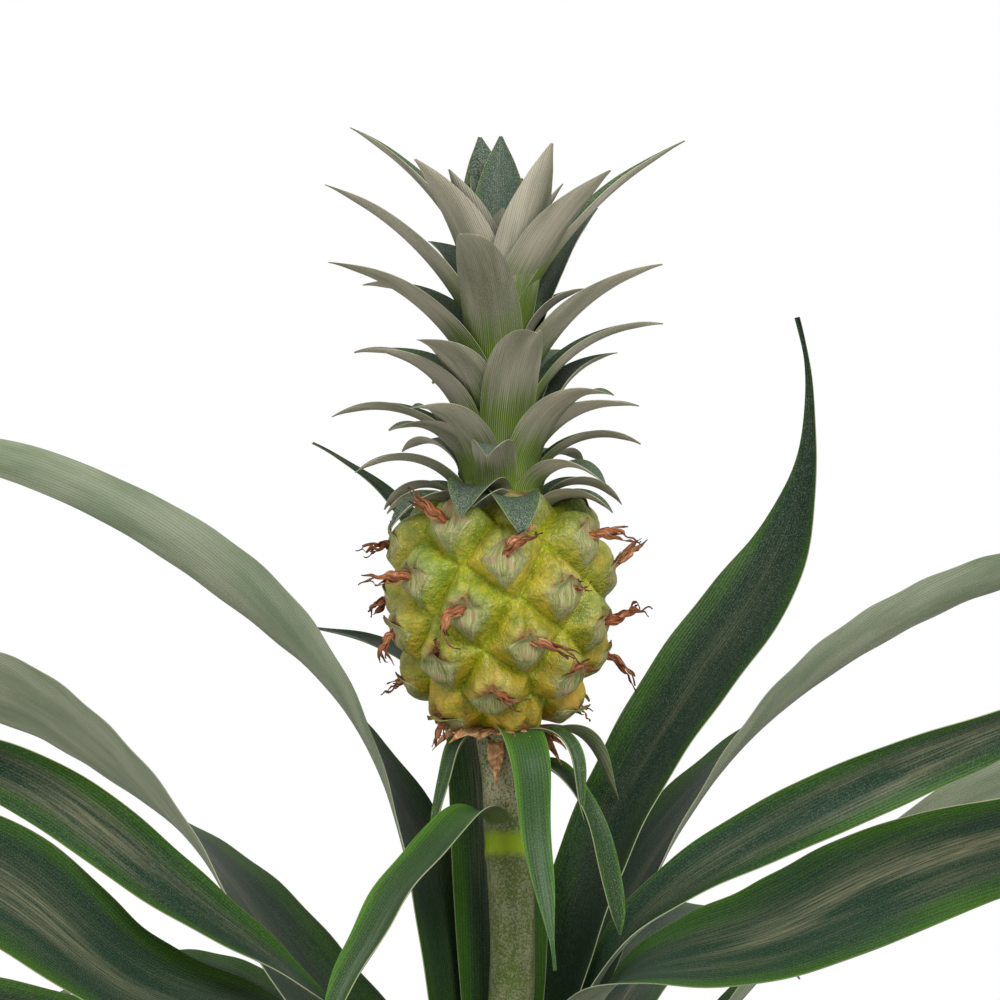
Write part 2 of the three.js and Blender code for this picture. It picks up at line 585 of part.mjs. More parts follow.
/** A dry floret: a thin tapered twig from under the skin, bending to its heading as it goes. */
function floretGeometry(eye, i) {
  const { length, heading, turn, rise, lift } = floretTraits(i);
  const upright = new THREE.Vector3(0, 0, 1);
  const outward = new THREE.Vector3(eye.x, eye.y, 0).normalize();
  const side = new THREE.Vector3().crossVectors(upright, outward);
  const step = (length + FLORET_ROOT) / FLORET_SEGMENTS;
  const centre = eye.clone().addScaledVector(outward, -FLORET_ROOT);
  const points = [];
  const index = [];
  for (let ring = 0; ring <= FLORET_SEGMENTS; ring += 1) {
    const share = ring / FLORET_SEGMENTS;
    const straight = 1 - THREE.MathUtils.smoothstep(share, FLORET_BEND_FROM, FLORET_BEND_TO);
    const pitch = radians(rise + lift * share + (90 - rise) * straight);
    const compass = radians(heading + turn * share);
    const along = upright.clone().multiplyScalar(Math.cos(compass)).addScaledVector(side, Math.sin(compass));
    const level = side.clone().multiplyScalar(Math.cos(compass)).addScaledVector(upright, -Math.sin(compass));
    const way = outward.clone().multiplyScalar(Math.sin(pitch)).addScaledVector(along, Math.cos(pitch));
    const over = new THREE.Vector3().crossVectors(way, level);
    const radius = THREE.MathUtils.lerp(FLORET_RADIUS, FLORET_TIP, share);
    for (let corner = 0; corner < FLORET_CORNERS; corner += 1) {
      const angle = 2 * Math.PI * corner / FLORET_CORNERS;
      const point = centre.clone().addScaledVector(level, radius * Math.cos(angle));
      points.push(point.addScaledVector(over, radius * Math.sin(angle)));
      if (ring === FLORET_SEGMENTS) continue;
      const a = ring * FLORET_CORNERS + corner;
      const b = ring * FLORET_CORNERS + (corner + 1) % FLORET_CORNERS;
      index.push(a, b, b + FLORET_CORNERS, a, b + FLORET_CORNERS, a + FLORET_CORNERS);
    }
    centre.addScaledVector(way, step);
  }
  const tip = FLORET_SEGMENTS * FLORET_CORNERS;
  index.push(0, 2, 1, tip, tip + 1, tip + 2);
  const geometry = new THREE.BufferGeometry().setFromPoints(points);
  geometry.setIndex(index);
  return geometry;
}

let fruit = solid(skin);
for (let i = FIRST_FLORET; i <= LAST_FLORET; i += 1) {
  fruit = fruit.add(solid(floretGeometry(eyes[i], i)));
}
addPiece('fruit', geometryOf(fruit), FRUIT_COLOR, 0.5);

// Crown: a short leafy shoot on the fruit. Its leaves follow a golden-angle spiral up one axis,
// short and curled down at the foot, long in the middle and upright at the top.
const crownHeight = through(CROWN_HEIGHTS);
const crownCore = through(CROWN_CORE);
const crownLength = through(CROWN_LENGTHS);
const crownLean = through(CROWN_LEANS);
const crownCurl = through(CROWN_CURLS);
const crownWidth = through(CROWN_WIDTHS);

/** One leaf of the crown by its number, with its own traits. */
function crownLeaf(i) {
  const { azimuth = 0, height = 0, length = 0, width = 0, lean = 0, curl = 0 } = CROWN_TRAITS[i] ?? {};
  const middle = crownLean(i) + CROWN_LEAN_SPREAD * (draw(i, 4) - 0.5) + lean;
  const half = crownCurl(i) + curl;
  return bladeGeometry({
    azimuth: CROWN_START - GOLDEN_ANGLE * i + azimuth,
    height: crownHeight(i) + height,
    radius: crownCore(i) - CROWN_ROOT,
    rootRadius: crownCore(i),
    length: crownLength(i) + length,
    width: crownWidth(i) + width,
    leans: [middle - half, middle, middle + half],
    wrap: CROWN_WRAP,
    cup: CROWN_CUP,
    outline: CROWN_OUTLINE,
    across: CROWN_ACROSS,
    segments: i < CROWN_LONG_FROM ? CROWN_SHORT_SEGMENTS : CROWN_LONG_SEGMENTS,
  });
}

const coreProfile = [[0, CROWN_BASE], [CROWN_FOOT_RADIUS, CROWN_BASE]];
for (const i of CROWN_CORE_STEPS) coreProfile.push([crownCore(i) + CROWN_FLESH, crownHeight(i)]);
coreProfile.push([0, CROWN_CORE_TOP]);
let crown = solid(turned(coreProfile, CROWN_CORE_SIDES));
for (let i = 0; i < CROWN_LEAVES; i += 1) crown = crown.add(solid(crownLeaf(i)));
addPiece('crown', geometryOf(crown), CROWN_COLOR, 0.6);

export default plant;
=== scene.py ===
"""A dwarf ornamental pineapple in a nursery pot, with its finishes.

Lengths are millimetres until a mesh is made. +Z is up, and the origin is the centre of the pot's
underside. Azimuths are degrees seen from above: 0 is the front (-Y), 90 is +X and 180 is the back.
A lean is the angle from straight up.
"""

import bmesh
import bpy
import numpy as np
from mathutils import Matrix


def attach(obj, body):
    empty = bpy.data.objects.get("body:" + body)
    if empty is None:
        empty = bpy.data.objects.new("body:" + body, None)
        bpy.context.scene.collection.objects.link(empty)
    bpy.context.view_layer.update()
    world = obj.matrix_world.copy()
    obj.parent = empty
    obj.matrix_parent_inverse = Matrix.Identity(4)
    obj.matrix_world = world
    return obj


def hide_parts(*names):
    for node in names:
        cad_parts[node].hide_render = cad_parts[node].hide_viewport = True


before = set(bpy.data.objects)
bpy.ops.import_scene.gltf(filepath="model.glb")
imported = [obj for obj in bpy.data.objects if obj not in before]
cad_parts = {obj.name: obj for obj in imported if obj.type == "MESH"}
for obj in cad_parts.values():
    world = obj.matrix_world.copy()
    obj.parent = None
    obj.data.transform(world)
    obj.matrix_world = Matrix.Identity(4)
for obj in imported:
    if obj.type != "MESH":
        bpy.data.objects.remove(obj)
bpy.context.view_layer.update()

# Nursery pot: a thin tapered shell of terracotta-brown polypropylene with a stepped rim band to
# lift it by. It came out of its mould in one piece, with six drainage holes in the floor.
MM = 0.001
POT_HEIGHT = 120
POT_FOOT_RADIUS = 48
POT_SHOULDER_RADIUS = 63
POT_RIM_RADIUS = 70
POT_RIM_BAND = 14
POT_WALL = 2
POT_FLOOR = 3
POT_EDGE = 1.5
POT_FOOT_SLANT = 0.3
POT_SIDES = 96
FLOOR_RADIUS = 42
DRAIN_HOLES = 6
DRAIN_RADIUS = 5
DRAIN_CIRCLE = 34
SIDE_POINTS = 8


def colour(code):
    """An sRGB hex code as linear red, green, blue and 1: c / 12.92 below 0.04045, and above it
    ((c + 0.055) / 1.055) to the power 2.4."""
    share = np.array([int(code[i:i + 2], 16) for i in (1, 3, 5)]) / 255
    linear = np.where(share < 0.04045, share / 12.92, ((share + 0.055) / 1.055) ** 2.4)
    return (*linear.tolist(), 1.0)


def add_node(tree, kind, inputs=None, out=0, stops=None, **settings):
    """Adds a node. An input takes a value, a hex code, or the output of a node that feeds it. Stops
    are a ramp's places and hex codes. Gives the output with the number out."""
    new = tree.nodes.new("ShaderNode" + kind)
    for name, value in settings.items():
        setattr(new, name, value)
    for name, value in (inputs or {}).items():
        if isinstance(value, bpy.types.NodeSocket):
            tree.links.new(value, new.inputs[name])
        else:
            new.inputs[name].default_value = colour(value) if isinstance(value, str) else value
    for place, code in (stops or []):
        held = new.color_ramp.elements
        stop = held[0] if place == stops[0][0] else held.new(place)
        stop.position, stop.color = place, colour(code)
    return new.outputs[out]


# How a Mix node lays one colour over another, and how it multiplies the two.
BLENDED = dict(out=2, data_type="RGBA")
MULTIPLIED = dict(out=2, data_type="RGBA", blend_type="MULTIPLY")


def new_material(name, roughness, ior=1.45, **fixed):
    """A material with one shader, whose fixed values are set on its own sockets. Gives the
    material, its tree and its shader."""
    made = bpy.data.materials.new(name)
    made.use_nodes = True
    shader = made.node_tree.nodes["Principled BSDF"]
    shader.inputs["Roughness"].default_value = roughness
    shader.inputs["IOR"].default_value = ior
    for socket, value in fixed.items():
        shader.inputs[socket.replace("_", " ")].default_value = value
    return made, made.node_tree, shader


def connect(tree, shader, **sources):
    """Feeds sockets of a shader, named with _ for a space, from the outputs of other nodes."""
    for socket, source in sources.items():
        tree.links.new(source, shader.inputs[socket.replace("_", " ")])


def rounded(profile, radius, steps=4):
    """Rounds a profile's inner corners. Each becomes the curve (1-t)^2 A + 2t(1-t) B + t^2 C, where
    B is the corner and A and C lie up to radius from it along its sides."""
    points = np.array(profile, float)
    corner = points[1:-1]
    ends = []
    for towards in (points[:-2], points[2:]):
        side = towards - corner
        reach = np.linalg.norm(side, axis=1, keepdims=True)
        ends.append((corner + side / reach * np.minimum(radius, 0.45 * reach))[:, None])
    t = np.linspace(0, 1, steps + 1)[:, None]
    curve = (1 - t) ** 2 * ends[0] + 2 * t * (1 - t) * corner[:, None] + t ** 2 * ends[1]
    return np.vstack([points[:1], curve.reshape(-1, 2), points[-1:]])


def turned(profile, sides):
    """Rings about the upright axis: (r sin a, -r cos a, z) for each (r, z) and each angle a."""
    radius, height = np.asarray(profile, float).T[..., None]
    angle = np.linspace(0, 2 * np.pi, sides, endpoint=False)
    return np.stack([radius * np.sin(angle), -radius * np.cos(angle), height + 0 * angle], -1)


def surface(rings, capped=True):
    """Points and faces over rings (copy, ring, place, columns), the first three columns being the
    place. Quads join the rings of a copy, and a fan from the ring's middle closes each end."""
    rings = np.asarray(rings, float)
    rings = rings[None] if rings.ndim == 3 else rings
    copies, count, places, columns = rings.shape
    points = np.concatenate([rings.reshape(copies, -1, columns), rings[:, [0, -1]].mean(2)], 1)
    here = np.arange(count * places).reshape(count, places)
    side = np.roll(here, -1, 1)
    faces = np.stack([here[:-1], side[:-1], side[1:], here[1:]], -1).reshape(-1, 4)
    if capped:
        end = count * places
        blank = np.full(places, -1)
        first = np.stack([np.full(places, end), side[0], here[0], blank], -1)
        last = np.stack([np.full(places, end + 1), here[-1], side[-1], blank], -1)
        faces = np.concatenate([faces, first, last])
    else:
        points = points[:, :-2]
    start = np.arange(copies)[:, None, None] * points.shape[1]
    faces = np.where(faces < 0, -1, faces + start)
    return points.reshape(-1, columns), faces.reshape(-1, 4)


def joined(*parts):
    """Several (points, faces) as one, with the faces renumbered."""
    points, faces = zip(*parts)
    starts = np.cumsum([0] + [len(p) for p in points[:-1]])
    return np.concatenate(points), np.concatenate(
        [np.where(f < 0, -1, f + start) for f, start in zip(faces, starts)])


def add_piece(name, shape, materials, replaced=(), marks=(), choice=None, sharp=50, weld=False):
    """Makes a piece from (points, faces) in mm. Columns past the third are marks, three to a name.
    Choice is each face's material number. The piece rides with the plant."""
    points, faces = shape
    counts = (faces >= 0).sum(1)
    mesh = bpy.data.meshes.new(name)
    mesh.vertices.add(len(points))
    mesh.vertices.foreach_set("co", (points[:, :3] * MM).ravel())
    mesh.loops.add(int(counts.sum()))
    mesh.loops.foreach_set("vertex_index", faces[faces >= 0])
    mesh.polygons.add(len(faces))
    mesh.polygons.foreach_set("loop_start", np.cumsum(counts) - counts)
    for i, mark in enumerate(marks):
        attribute = mesh.attributes.new(mark, "FLOAT_VECTOR", "POINT")
        attribute.data.foreach_set("vector", points[:, 3 * i + 3:3 * i + 6].astype("f").ravel())
    for material in materials:
        mesh.materials.append(material)
    if choice is not None:
        mesh.polygons.foreach_set("material_index", choice.astype("i"))
    mesh.update(calc_edges=True)
    if weld:
        shell = bmesh.new()
        shell.from_mesh(mesh)
        bmesh.ops.remove_doubles(shell, verts=shell.verts, dist=0.01 * MM)
        shell.to_mesh(mesh)
        shell.free()
    mesh.shade_smooth()
    mesh.set_sharp_from_angle(angle=np.radians(sharp))
    piece = bpy.data.objects.new(name, mesh)
    bpy.context.scene.collection.objects.link(piece)
    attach(piece, "root")
    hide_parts(*replaced)
    return piece


def pierced_floor():
    """Rings for each sector of the floor. A sector's outline is two straight sides from the
    middle and an arc. The rings run from it under the floor, through the hole and back on top."""
    half = np.pi / DRAIN_HOLES
    side = np.linspace(0, 1, SIDE_POINTS + 1)[:-1, None]
    turn = np.linspace(-half, half, POT_SIDES // DRAIN_HOLES + 1)
    arc = FLOOR_RADIUS * np.stack([np.cos(turn), np.sin(turn)], -1)
    outline = np.concatenate([side * arc[0], arc[:-1], (1 - side) * arc[-1]])[::-1]
    away = outline - [DRAIN_CIRCLE, 0]
    edge = [DRAIN_CIRCLE, 0] + DRAIN_RADIUS * away / np.linalg.norm(away, axis=1, keepdims=True)
    share = np.array([0, 0.4, 0.75, 1])[:, None, None]
    flat = outline + (edge - outline) * share
    under = np.concatenate([flat, np.zeros((*flat.shape[:2], 1))], -1)
    rings = np.concatenate([under, under[::-1] + [0, 0, POT_FLOOR]])
    angle = np.arange(DRAIN_HOLES)[:, None, None] * 2 * half
    x, y, z = rings[..., 0], rings[..., 1], rings[..., 2] + 0 * angle
    return np.stack([x * np.cos(angle) - y * np.sin(angle), x * np.sin(angle) + y * np.cos(angle), z], -1)


# Moulded polypropylene: even and slightly waxy, with a fine eggshell grain from the mould, drawn
# 0.8 mm coarse so that it shows. A pale bloom of lime from the watering lies towards the foot.
pot_plastic, tree, shader = new_material("moulded_polypropylene", 0.46, ior=1.49)
place = add_node(tree, "TexCoord", out=3)
height = add_node(tree, "SeparateXYZ", {0: place}, out=2)
flow = add_node(tree, "TexNoise", {"Vector": place, "Scale": 22, "Detail": 4})
grain = add_node(tree, "TexNoise", {"Vector": place, "Scale": 1300, "Detail": 2})
body = add_node(tree, "Mix", {0: flow, 6: "#7d4630", 7: "#95583d"}, **BLENDED)
stain = add_node(tree, "TexNoise", {"Vector": place, "Scale": 90, "Detail": 6, "Roughness": 0.7})
low = add_node(tree, "MapRange", {"Value": height, "From Min": 0.045, "From Max": 0.0})
lime = add_node(tree, "Math", {0: low, 1: stain}, operation="MULTIPLY")
lime = add_node(tree, "MapRange", {"Value": lime, "From Min": 0.25, "From Max": 0.6, "To Max": 0.35})
shown = add_node(tree, "Mix", {0: lime, 6: body, 7: "#c9b8a8"}, **BLENDED)
rough = add_node(tree, "MapRange", {"Value": stain, "To Min": 0.38, "To Max": 0.58})
bump = add_node(tree, "Bump", {"Height": grain, "Strength": 0.25, "Distance": 0.0002})
connect(tree, shader, Base_Color=shown, Roughness=rough, Normal=bump)

shoulder = POT_HEIGHT - POT_RIM_BAND
rim_inside = POT_RIM_RADIUS - POT_WALL
pot_wall = rounded([
    [FLOOR_RADIUS, 0],
    [POT_FOOT_RADIUS - POT_FOOT_SLANT, 0],
    [POT_SHOULDER_RADIUS, shoulder],
    [POT_RIM_RADIUS, shoulder],
    [POT_RIM_RADIUS, POT_HEIGHT],
    [rim_inside, POT_HEIGHT],
    [rim_inside, shoulder + POT_WALL],
    [POT_SHOULDER_RADIUS - POT_WALL, shoulder],
    [POT_FOOT_RADIUS - POT_WALL, POT_FLOOR],
    [FLOOR_RADIUS, POT_FLOOR],
], POT_EDGE)
pot_shape = joined(surface(turned(pot_wall, POT_SIDES), capped=False),
                   surface(pierced_floor(), capped=False))
add_piece("nursery_pot", pot_shape, [pot_plastic], ["pot"], weld=True)

# Potting soil: dark peat that was pressed in around the stem and settled to below the rim. Its
# top is lumpy, with bark chips and white perlite grains lying loose on it.
FIT_GAP = 0.3
SOIL_TOP = 103
SOIL_LUMP = 1.2
SOIL_CALM = 8
SOIL_CRUMB = 0.5
SOIL_SIDES = 180
SOIL_RINGS = 60
STEM_FOOT = 44
STEM_RADIUS = 18
CHIPS = 620
CHIP_SIZES = (0.8, 3.4)
GRAINS = 90
GRAIN_SIZES = (0.8, 1.9)
STREWN_FROM = STEM_RADIUS + 4
STREWN_TO = 56
STONE_TILT = 0.35
STONE_RAISED = 0.3


def smoothstep(x, low, high):
    """0 below low, 1 above high, and 3t^2 - 2t^3 between them, t being the share of the way."""
    t = np.clip((x - low) / (high - low), 0, 1)
    return t * t * (3 - 2 * t)


def waves(points, size, seed, count=14):
    """A lumpy field from about -1 to 1: the sum of sin(k.p + shift) over count plane waves, with
    drawn directions k and lengths near size."""
    rng = np.random.default_rng(seed)
    way = rng.normal(size=(3, count))
    way *= 2 * np.pi / size / np.linalg.norm(way, axis=0) * rng.uniform(0.6, 1.5, count)
    return np.sin(points[..., :3] @ way + rng.uniform(0, 2 * np.pi, count)).sum(-1) / count ** 0.5 / 1.4


def soil_height(x, y):
    """The soil's top: its level plus two long waves, calm next to the stem, plus fine crumbs."""
    lump = np.sin(0.31 * x + 0.27 * y) + 0.6 * np.sin(0.13 * x - 0.19 * y)
    calm = smoothstep(np.hypot(x, y), STEM_RADIUS + FIT_GAP, STEM_RADIUS + FIT_GAP + SOIL_CALM)
    spot = np.stack([x, y, 0 * x], -1)
    crumb = SOIL_CRUMB * (waves(spot, 5, 1) + 0.5 * waves(spot, 2.2, 2))
    return SOIL_TOP + (SOIL_LUMP * lump + crumb) * calm


def scattered(count, sizes, seed):
    """Rings of small lumpy stones strewn on the soil, (copy, ring, place, xyz): balls of radius
    1 + 0.3 waves, stretched to drawn sizes, turned, tilted and sunk a third."""
    rng = np.random.default_rng(seed)
    rise = np.radians([-62, -20, 22, 64])[:, None]
    turn = np.linspace(0, 2 * np.pi, 7)[:-1]
    ball = np.stack([np.cos(rise) * np.cos(turn), np.cos(rise) * np.sin(turn), np.sin(rise) + 0 * turn], -1)
    copy = rng.uniform(-9, 9, (count, 1, 1, 3))
    stone = ball * (1 + 0.3 * waves(ball + copy, 1.6, seed)[..., None])
    stone = stone * rng.uniform(*sizes, (count, 1, 1, 3)) * [1, 0.7, 0.45]
    tilt, yaw = rng.normal(0, STONE_TILT, (count, 1, 1)), rng.uniform(0, 2 * np.pi, (count, 1, 1))
    x, y, z = stone[..., 0], stone[..., 1], stone[..., 2]
    x, z = x * np.cos(tilt) - z * np.sin(tilt), x * np.sin(tilt) + z * np.cos(tilt)
    away = np.sqrt(rng.uniform(STREWN_FROM ** 2, STREWN_TO ** 2, (count, 1, 1)))
    spin = rng.uniform(0, 2 * np.pi, (count, 1, 1))
    x0, y0 = away * np.cos(spin), away * np.sin(spin)
    return np.stack([x0 + x * np.cos(yaw) - y * np.sin(yaw), y0 + x * np.sin(yaw) + y * np.cos(yaw),
                     soil_height(x0, y0) + STONE_RAISED + z], -1)


# Damp peat: nearly black in the hollows and dull brown on the crumbs, with no shine.
peat, tree, shader = new_material("pressed_peat", 0.95)
place = add_node(tree, "TexCoord", out=3)
clod = add_node(tree, "TexNoise", {"Vector": place, "Scale": 260, "Detail": 7, "Roughness": 0.72})
fleck = add_node(tree, "TexVoronoi", {"Vector": place, "Scale": 620})
dark = add_node(tree, "Mix", {0: clod, 6: "#17100c", 7: "#4d3a2b"}, **BLENDED)
fibre = add_node(tree, "MapRange", {"Value": fleck, "From Min": 0.16, "From Max": 0.02, "To Max": 0.5})
shown = add_node(tree, "Mix", {0: fibre, 6: dark, 7: "#7a5f45"}, **BLENDED)
bump = add_node(tree, "Bump", {"Height": clod, "Strength": 0.8, "Distance": 0.0014})
connect(tree, shader, Base_Color=shown, Normal=bump)

# Composted pine bark: broken flakes, brown with a greyer weathered face.
bark, tree, shader = new_material("broken_bark", 0.85)
place = add_node(tree, "TexCoord", out=3)
layer = add_node(tree, "TexNoise", {"Vector": place, "Scale": 420, "Detail": 5, "Distortion": 1.2})
patch = add_node(tree, "TexNoise", {"Vector": place, "Scale": 130, "Detail": 2})
wood = add_node(tree, "Mix", {0: layer, 6: "#2f1f16", 7: "#6d4b34"}, **BLENDED)
grey = add_node(tree, "MapRange", {"Value": patch, "From Min": 0.5, "From Max": 0.7, "To Max": 0.5})
shown = add_node(tree, "Mix", {0: grey, 6: wood, 7: "#8a7a6b"}, **BLENDED)
bump = add_node(tree, "Bump", {"Height": layer, "Strength": 0.6, "Distance": 0.0006})
connect(tree, shader, Base_Color=shown, Normal=bump)

# Expanded perlite: chalk-white popped glass, stained a little by the peat.
perlite, tree, shader = new_material("expanded_perlite", 0.8)
place = add_node(tree, "TexCoord", out=3)
pore = add_node(tree, "TexVoronoi", {"Vector": place, "Scale": 1500})
stain = add_node(tree, "TexNoise", {"Vector": place, "Scale": 300, "Detail": 4})
shown = add_node(tree, "Mix", {0: stain, 6: "#f1efe9", 7: "#b9aa98"}, **BLENDED)
bump = add_node(tree, "Bump", {"Height": pore, "Strength": 0.7, "Distance": 0.0005})
connect(tree, shader, Base_Color=shown, Normal=bump)

wall_slope = (POT_SHOULDER_RADIUS - POT_FOOT_RADIUS) / (shoulder - POT_FLOOR)
soil_foot = POT_FOOT_RADIUS - POT_WALL - 2 * FIT_GAP
soil_edge = soil_foot + wall_slope * (SOIL_TOP - POT_FLOOR)
hole_radius = STEM_RADIUS + FIT_GAP
soil_profile = np.vstack([
    [[1, POT_FLOOR + FIT_GAP], [soil_foot, POT_FLOOR + FIT_GAP]],
    np.stack([np.linspace(soil_edge, hole_radius, SOIL_RINGS), np.full(SOIL_RINGS, SOIL_TOP)], -1),
    [[hole_radius, STEM_FOOT - FIT_GAP], [1, STEM_FOOT - FIT_GAP]],
])
soil_rings = turned(soil_profile, SOIL_SIDES)
soil_rings[2:-2, :, 2] = soil_height(soil_rings[2:-2, :, 0], soil_rings[2:-2, :, 1])
add_piece("potting_soil", surface(soil_rings), [peat], ["soil"])
add_piece("bark_chips", surface(scattered(CHIPS, CHIP_SIZES, 5)), [bark], sharp=35)
add_piece("perlite_grains", surface(scattered(GRAINS, GRAIN_SIZES, 6)), [perlite], sharp=60)

# Stem and fruit stalk: one shoot, stout and hidden in the leaf bases below, slender above, where
# it carries the fruit. It grew a little bowed, and swells slightly where a bract comes out.
STALK_START = 190
STALK_RADIUS = 8.3
STALK_WAIST = 260
STALK_WAIST_RADIUS = 7.9
STALK_NECK = 325
STALK_TOP = 343
STALK_COLLAR_RADIUS = 10
STALK_COLLAR_HEIGHT = 3
STALK_BOW = [[0, 0], [STALK_START, 0], [230, 2.6], [265, 4.4], [310, 2.6], [STALK_TOP, 1.3]]
STALK_JOINTS = [236, 299]
JOINT_SWELL = 0.45
JOINT_REACH = 2.2
STALK_FLUTE = 0.16
FLUTE_SIZE = 4.5
STEM_SIDES = 72
STEM_RINGS = 260


def through(stations):
    """A smooth curve through given (x, y) stations: on each span the cubic whose slope at a
    station is that of the line between its two neighbours."""
    xs, ys = np.array(stations, float).T
    before, after = np.r_[0, :len(xs) - 1], np.r_[1:len(xs), len(xs) - 1]
    slope = (ys[after] - ys[before]) / (xs[after] - xs[before])

    def curve(x):
        i = np.clip(np.searchsorted(xs, x, side="left") - 1, 0, len(xs) - 2)
        span = xs[i + 1] - xs[i]
        t = np.clip((x - xs[i]) / span, 0, 1)
        return ((2 * t ** 3 - 3 * t ** 2 + 1) * ys[i] + (t ** 3 - 2 * t ** 2 + t) * span * slope[i]
                + (3 * t ** 2 - 2 * t ** 3) * ys[i + 1] + (t ** 3 - t ** 2) * span * slope[i + 1])

    return curve


# Scurfy skin: green under a grey felt of flat scales, thicker in streaks and on the pale neck, which is
# painted paler still as painted light against the shade under the fruit.
# Under the lowest bract the felt is missing, and a smooth band of bright yellow-green shows.
stalk_skin, tree, shader = new_material("scurfy_stalk_skin", 0.62, Specular_IOR_Level=0.3)
place = add_node(tree, "TexCoord", out=3)
height = add_node(tree, "SeparateXYZ", {0: place}, out=2)
long = add_node(tree, "Mapping", {"Vector": place, "Scale": (1, 1, 0.12)})
streak = add_node(tree, "TexNoise", {"Vector": long, "Scale": 420, "Detail": 4, "Roughness": 0.65})
cloud = add_node(tree, "TexNoise", {"Vector": place, "Scale": 75, "Detail": 4, "Roughness": 0.6})
scale = add_node(tree, "TexNoise", {"Vector": place, "Scale": 1250, "Detail": 3, "Roughness": 0.8})
green = add_node(tree, "Mix", {0: streak, 6: "#36481a", 7: "#62752f"}, **BLENDED)
# Partly real, partly painted light: near the neck the felt is thickened and lifted to a pale tan, brighter
# than its own colour, to offset the shade that the fruit and bracts cast on it.
neck_scurf_and_painted_light = add_node(tree, "MapRange", {"Value": height, "From Min": 0.308, "From Max": 0.32, "To Max": 0.05})
cover = add_node(tree, "Math", {0: cloud, 1: 0.4, 2: scale}, operation="MULTIPLY_ADD")
cover = add_node(tree, "Math", {0: cover, 1: neck_scurf_and_painted_light}, operation="ADD")
cover = add_node(tree, "MapRange", {"Value": cover, "From Min": 0.66, "From Max": 0.78, "To Max": 0.8})
felt = add_node(tree, "Mix", {0: streak, 6: "#74775a", 7: "#a19c82"}, **BLENDED)
pale = add_node(tree, "MapRange", {"Value": neck_scurf_and_painted_light, "From Max": 0.05, "To Max": 0.75})
felt = add_node(tree, "Mix", {0: pale, 6: felt, 7: "#c4bb9c"}, **BLENDED)
rough_skin = add_node(tree, "Mix", {0: cover, 6: green, 7: felt}, **BLENDED)
wobble = add_node(tree, "Math", {0: cloud, 1: 0.007, 2: height}, operation="MULTIPLY_ADD")
above = add_node(tree, "MapRange", {"Value": wobble, "From Min": 0.3015, "From Max": 0.3045})
below = add_node(tree, "MapRange", {"Value": wobble, "From Min": 0.3125, "From Max": 0.3095})
band = add_node(tree, "Math", {0: above, 1: below}, operation="MULTIPLY")
bright = add_node(tree, "Mix", {0: cloud, 6: "#637c03", 7: "#a3bb12"}, **BLENDED)
shown = add_node(tree, "Mix", {0: band, 6: rough_skin, 7: bright}, **BLENDED)
rough = add_node(tree, "MapRange", {"Value": band, "To Min": 0.7, "To Max": 0.32})
relief = add_node(tree, "Math", {0: streak, 1: scale}, operation="ADD")
bump = add_node(tree, "Bump", {"Height": relief, "Strength": 0.5, "Distance": 0.0004})
connect(tree, shader, Base_Color=shown, Roughness=rough, Normal=bump)

stem_profile = rounded([
    [1, STEM_FOOT],
    [STEM_RADIUS, STEM_FOOT],
    [STEM_RADIUS, SOIL_TOP],
    [STALK_RADIUS, STALK_START],
    [STALK_WAIST_RADIUS, STALK_WAIST],
    [STALK_RADIUS, STALK_NECK],
    [STALK_COLLAR_RADIUS, STALK_TOP - STALK_COLLAR_HEIGHT],
    [STALK_COLLAR_RADIUS, STALK_TOP],
    [1, STALK_TOP],
], 5)
way = np.cumsum(np.r_[0, np.hypot(*np.diff(stem_profile, axis=0).T)])
even = np.linspace(0, way[-1], STEM_RINGS)
stem_profile = np.stack([np.interp(even, way, column) for column in stem_profile.T], -1)
joint = sum(np.exp(-((stem_profile[:, 1] - z) / JOINT_REACH) ** 2) for z in STALK_JOINTS)
stem_profile[:, 0] += JOINT_SWELL * joint
stem_rings = turned(stem_profile, STEM_SIDES)
outward = stem_rings[..., :2] / np.linalg.norm(stem_rings[..., :2], axis=-1, keepdims=True)
stem_rings[..., :2] += STALK_FLUTE * outward * waves(stem_rings * [1, 1, 0.18], FLUTE_SIZE, 11)[..., None]
bow = through(STALK_BOW)
stem_rings[..., 0] += bow(stem_rings[..., 2])
add_piece("fruit_stalk", surface(stem_rings), [stalk_skin], ["stem"])

# Stalk bracts: narrow leaves that grew out of the stalk just under the fruit, bent over and
# hanging. They are green and waxy above and felted grey below, like the large leaves.
BRACT_ROOT = 2
BRACT_WRAP = 40
BRACT_CUP = 28
BRACTS = [
    dict(azimuth=17, height=340, length=100, width=17, leans=[55, 169, 158, 165], twist=6, cup=15,
         outline=[[0.12, 0.94], [0.4, 0.72], [0.7, 0.45], [0.9, 0.1], [1, 0.07]]),
    dict(azimuth=-62, height=340, length=46, width=11, leans=[54, 147, 161, 165], twist=-11, cup=27,
         outline=[[0.12, 1.03], [0.4, 0.81], [0.7, 0.54], [0.9, 0.3], [1, 0.05]]),
    dict(azimuth=44, height=338, length=56, width=9, leans=[55, 94, 170, 170], twist=4, cup=29,
         outline=[[0.12, 1.02], [0.4, 0.79], [0.7, 0.61], [0.9, 0.26], [1, 0.05]]),
    dict(azimuth=124, height=337, length=57, width=13, leans=[59, 90, 147, 160], twist=-7,
         outline=[[0.12, 0.99], [0.4, 0.92], [0.7, 0.53], [0.9, 0.21], [1, 0.07]]),
    dict(azimuth=49, height=329, length=82, width=13, leans=[62, 134, 165, 173], twist=14, cup=27,
         outline=[[0.12, 1.04], [0.4, 0.61], [0.7, 0.69], [0.9, 0.49], [1, 0.05]]),
    dict(azimuth=-33, height=310, length=137, width=23, leans=[47, 117, 116, 131, 133, 163], twist=12,
         outline=[[0.12, 0.68], [0.4, 0.84], [0.7, 0.77], [0.9, 0.38], [1, 0.03]]),
]
SWEEP_POWER = 1.5
TWIST_FROM = 0.12
TWIST_TO = 0.75
RIPPLE_LENGTH = 34


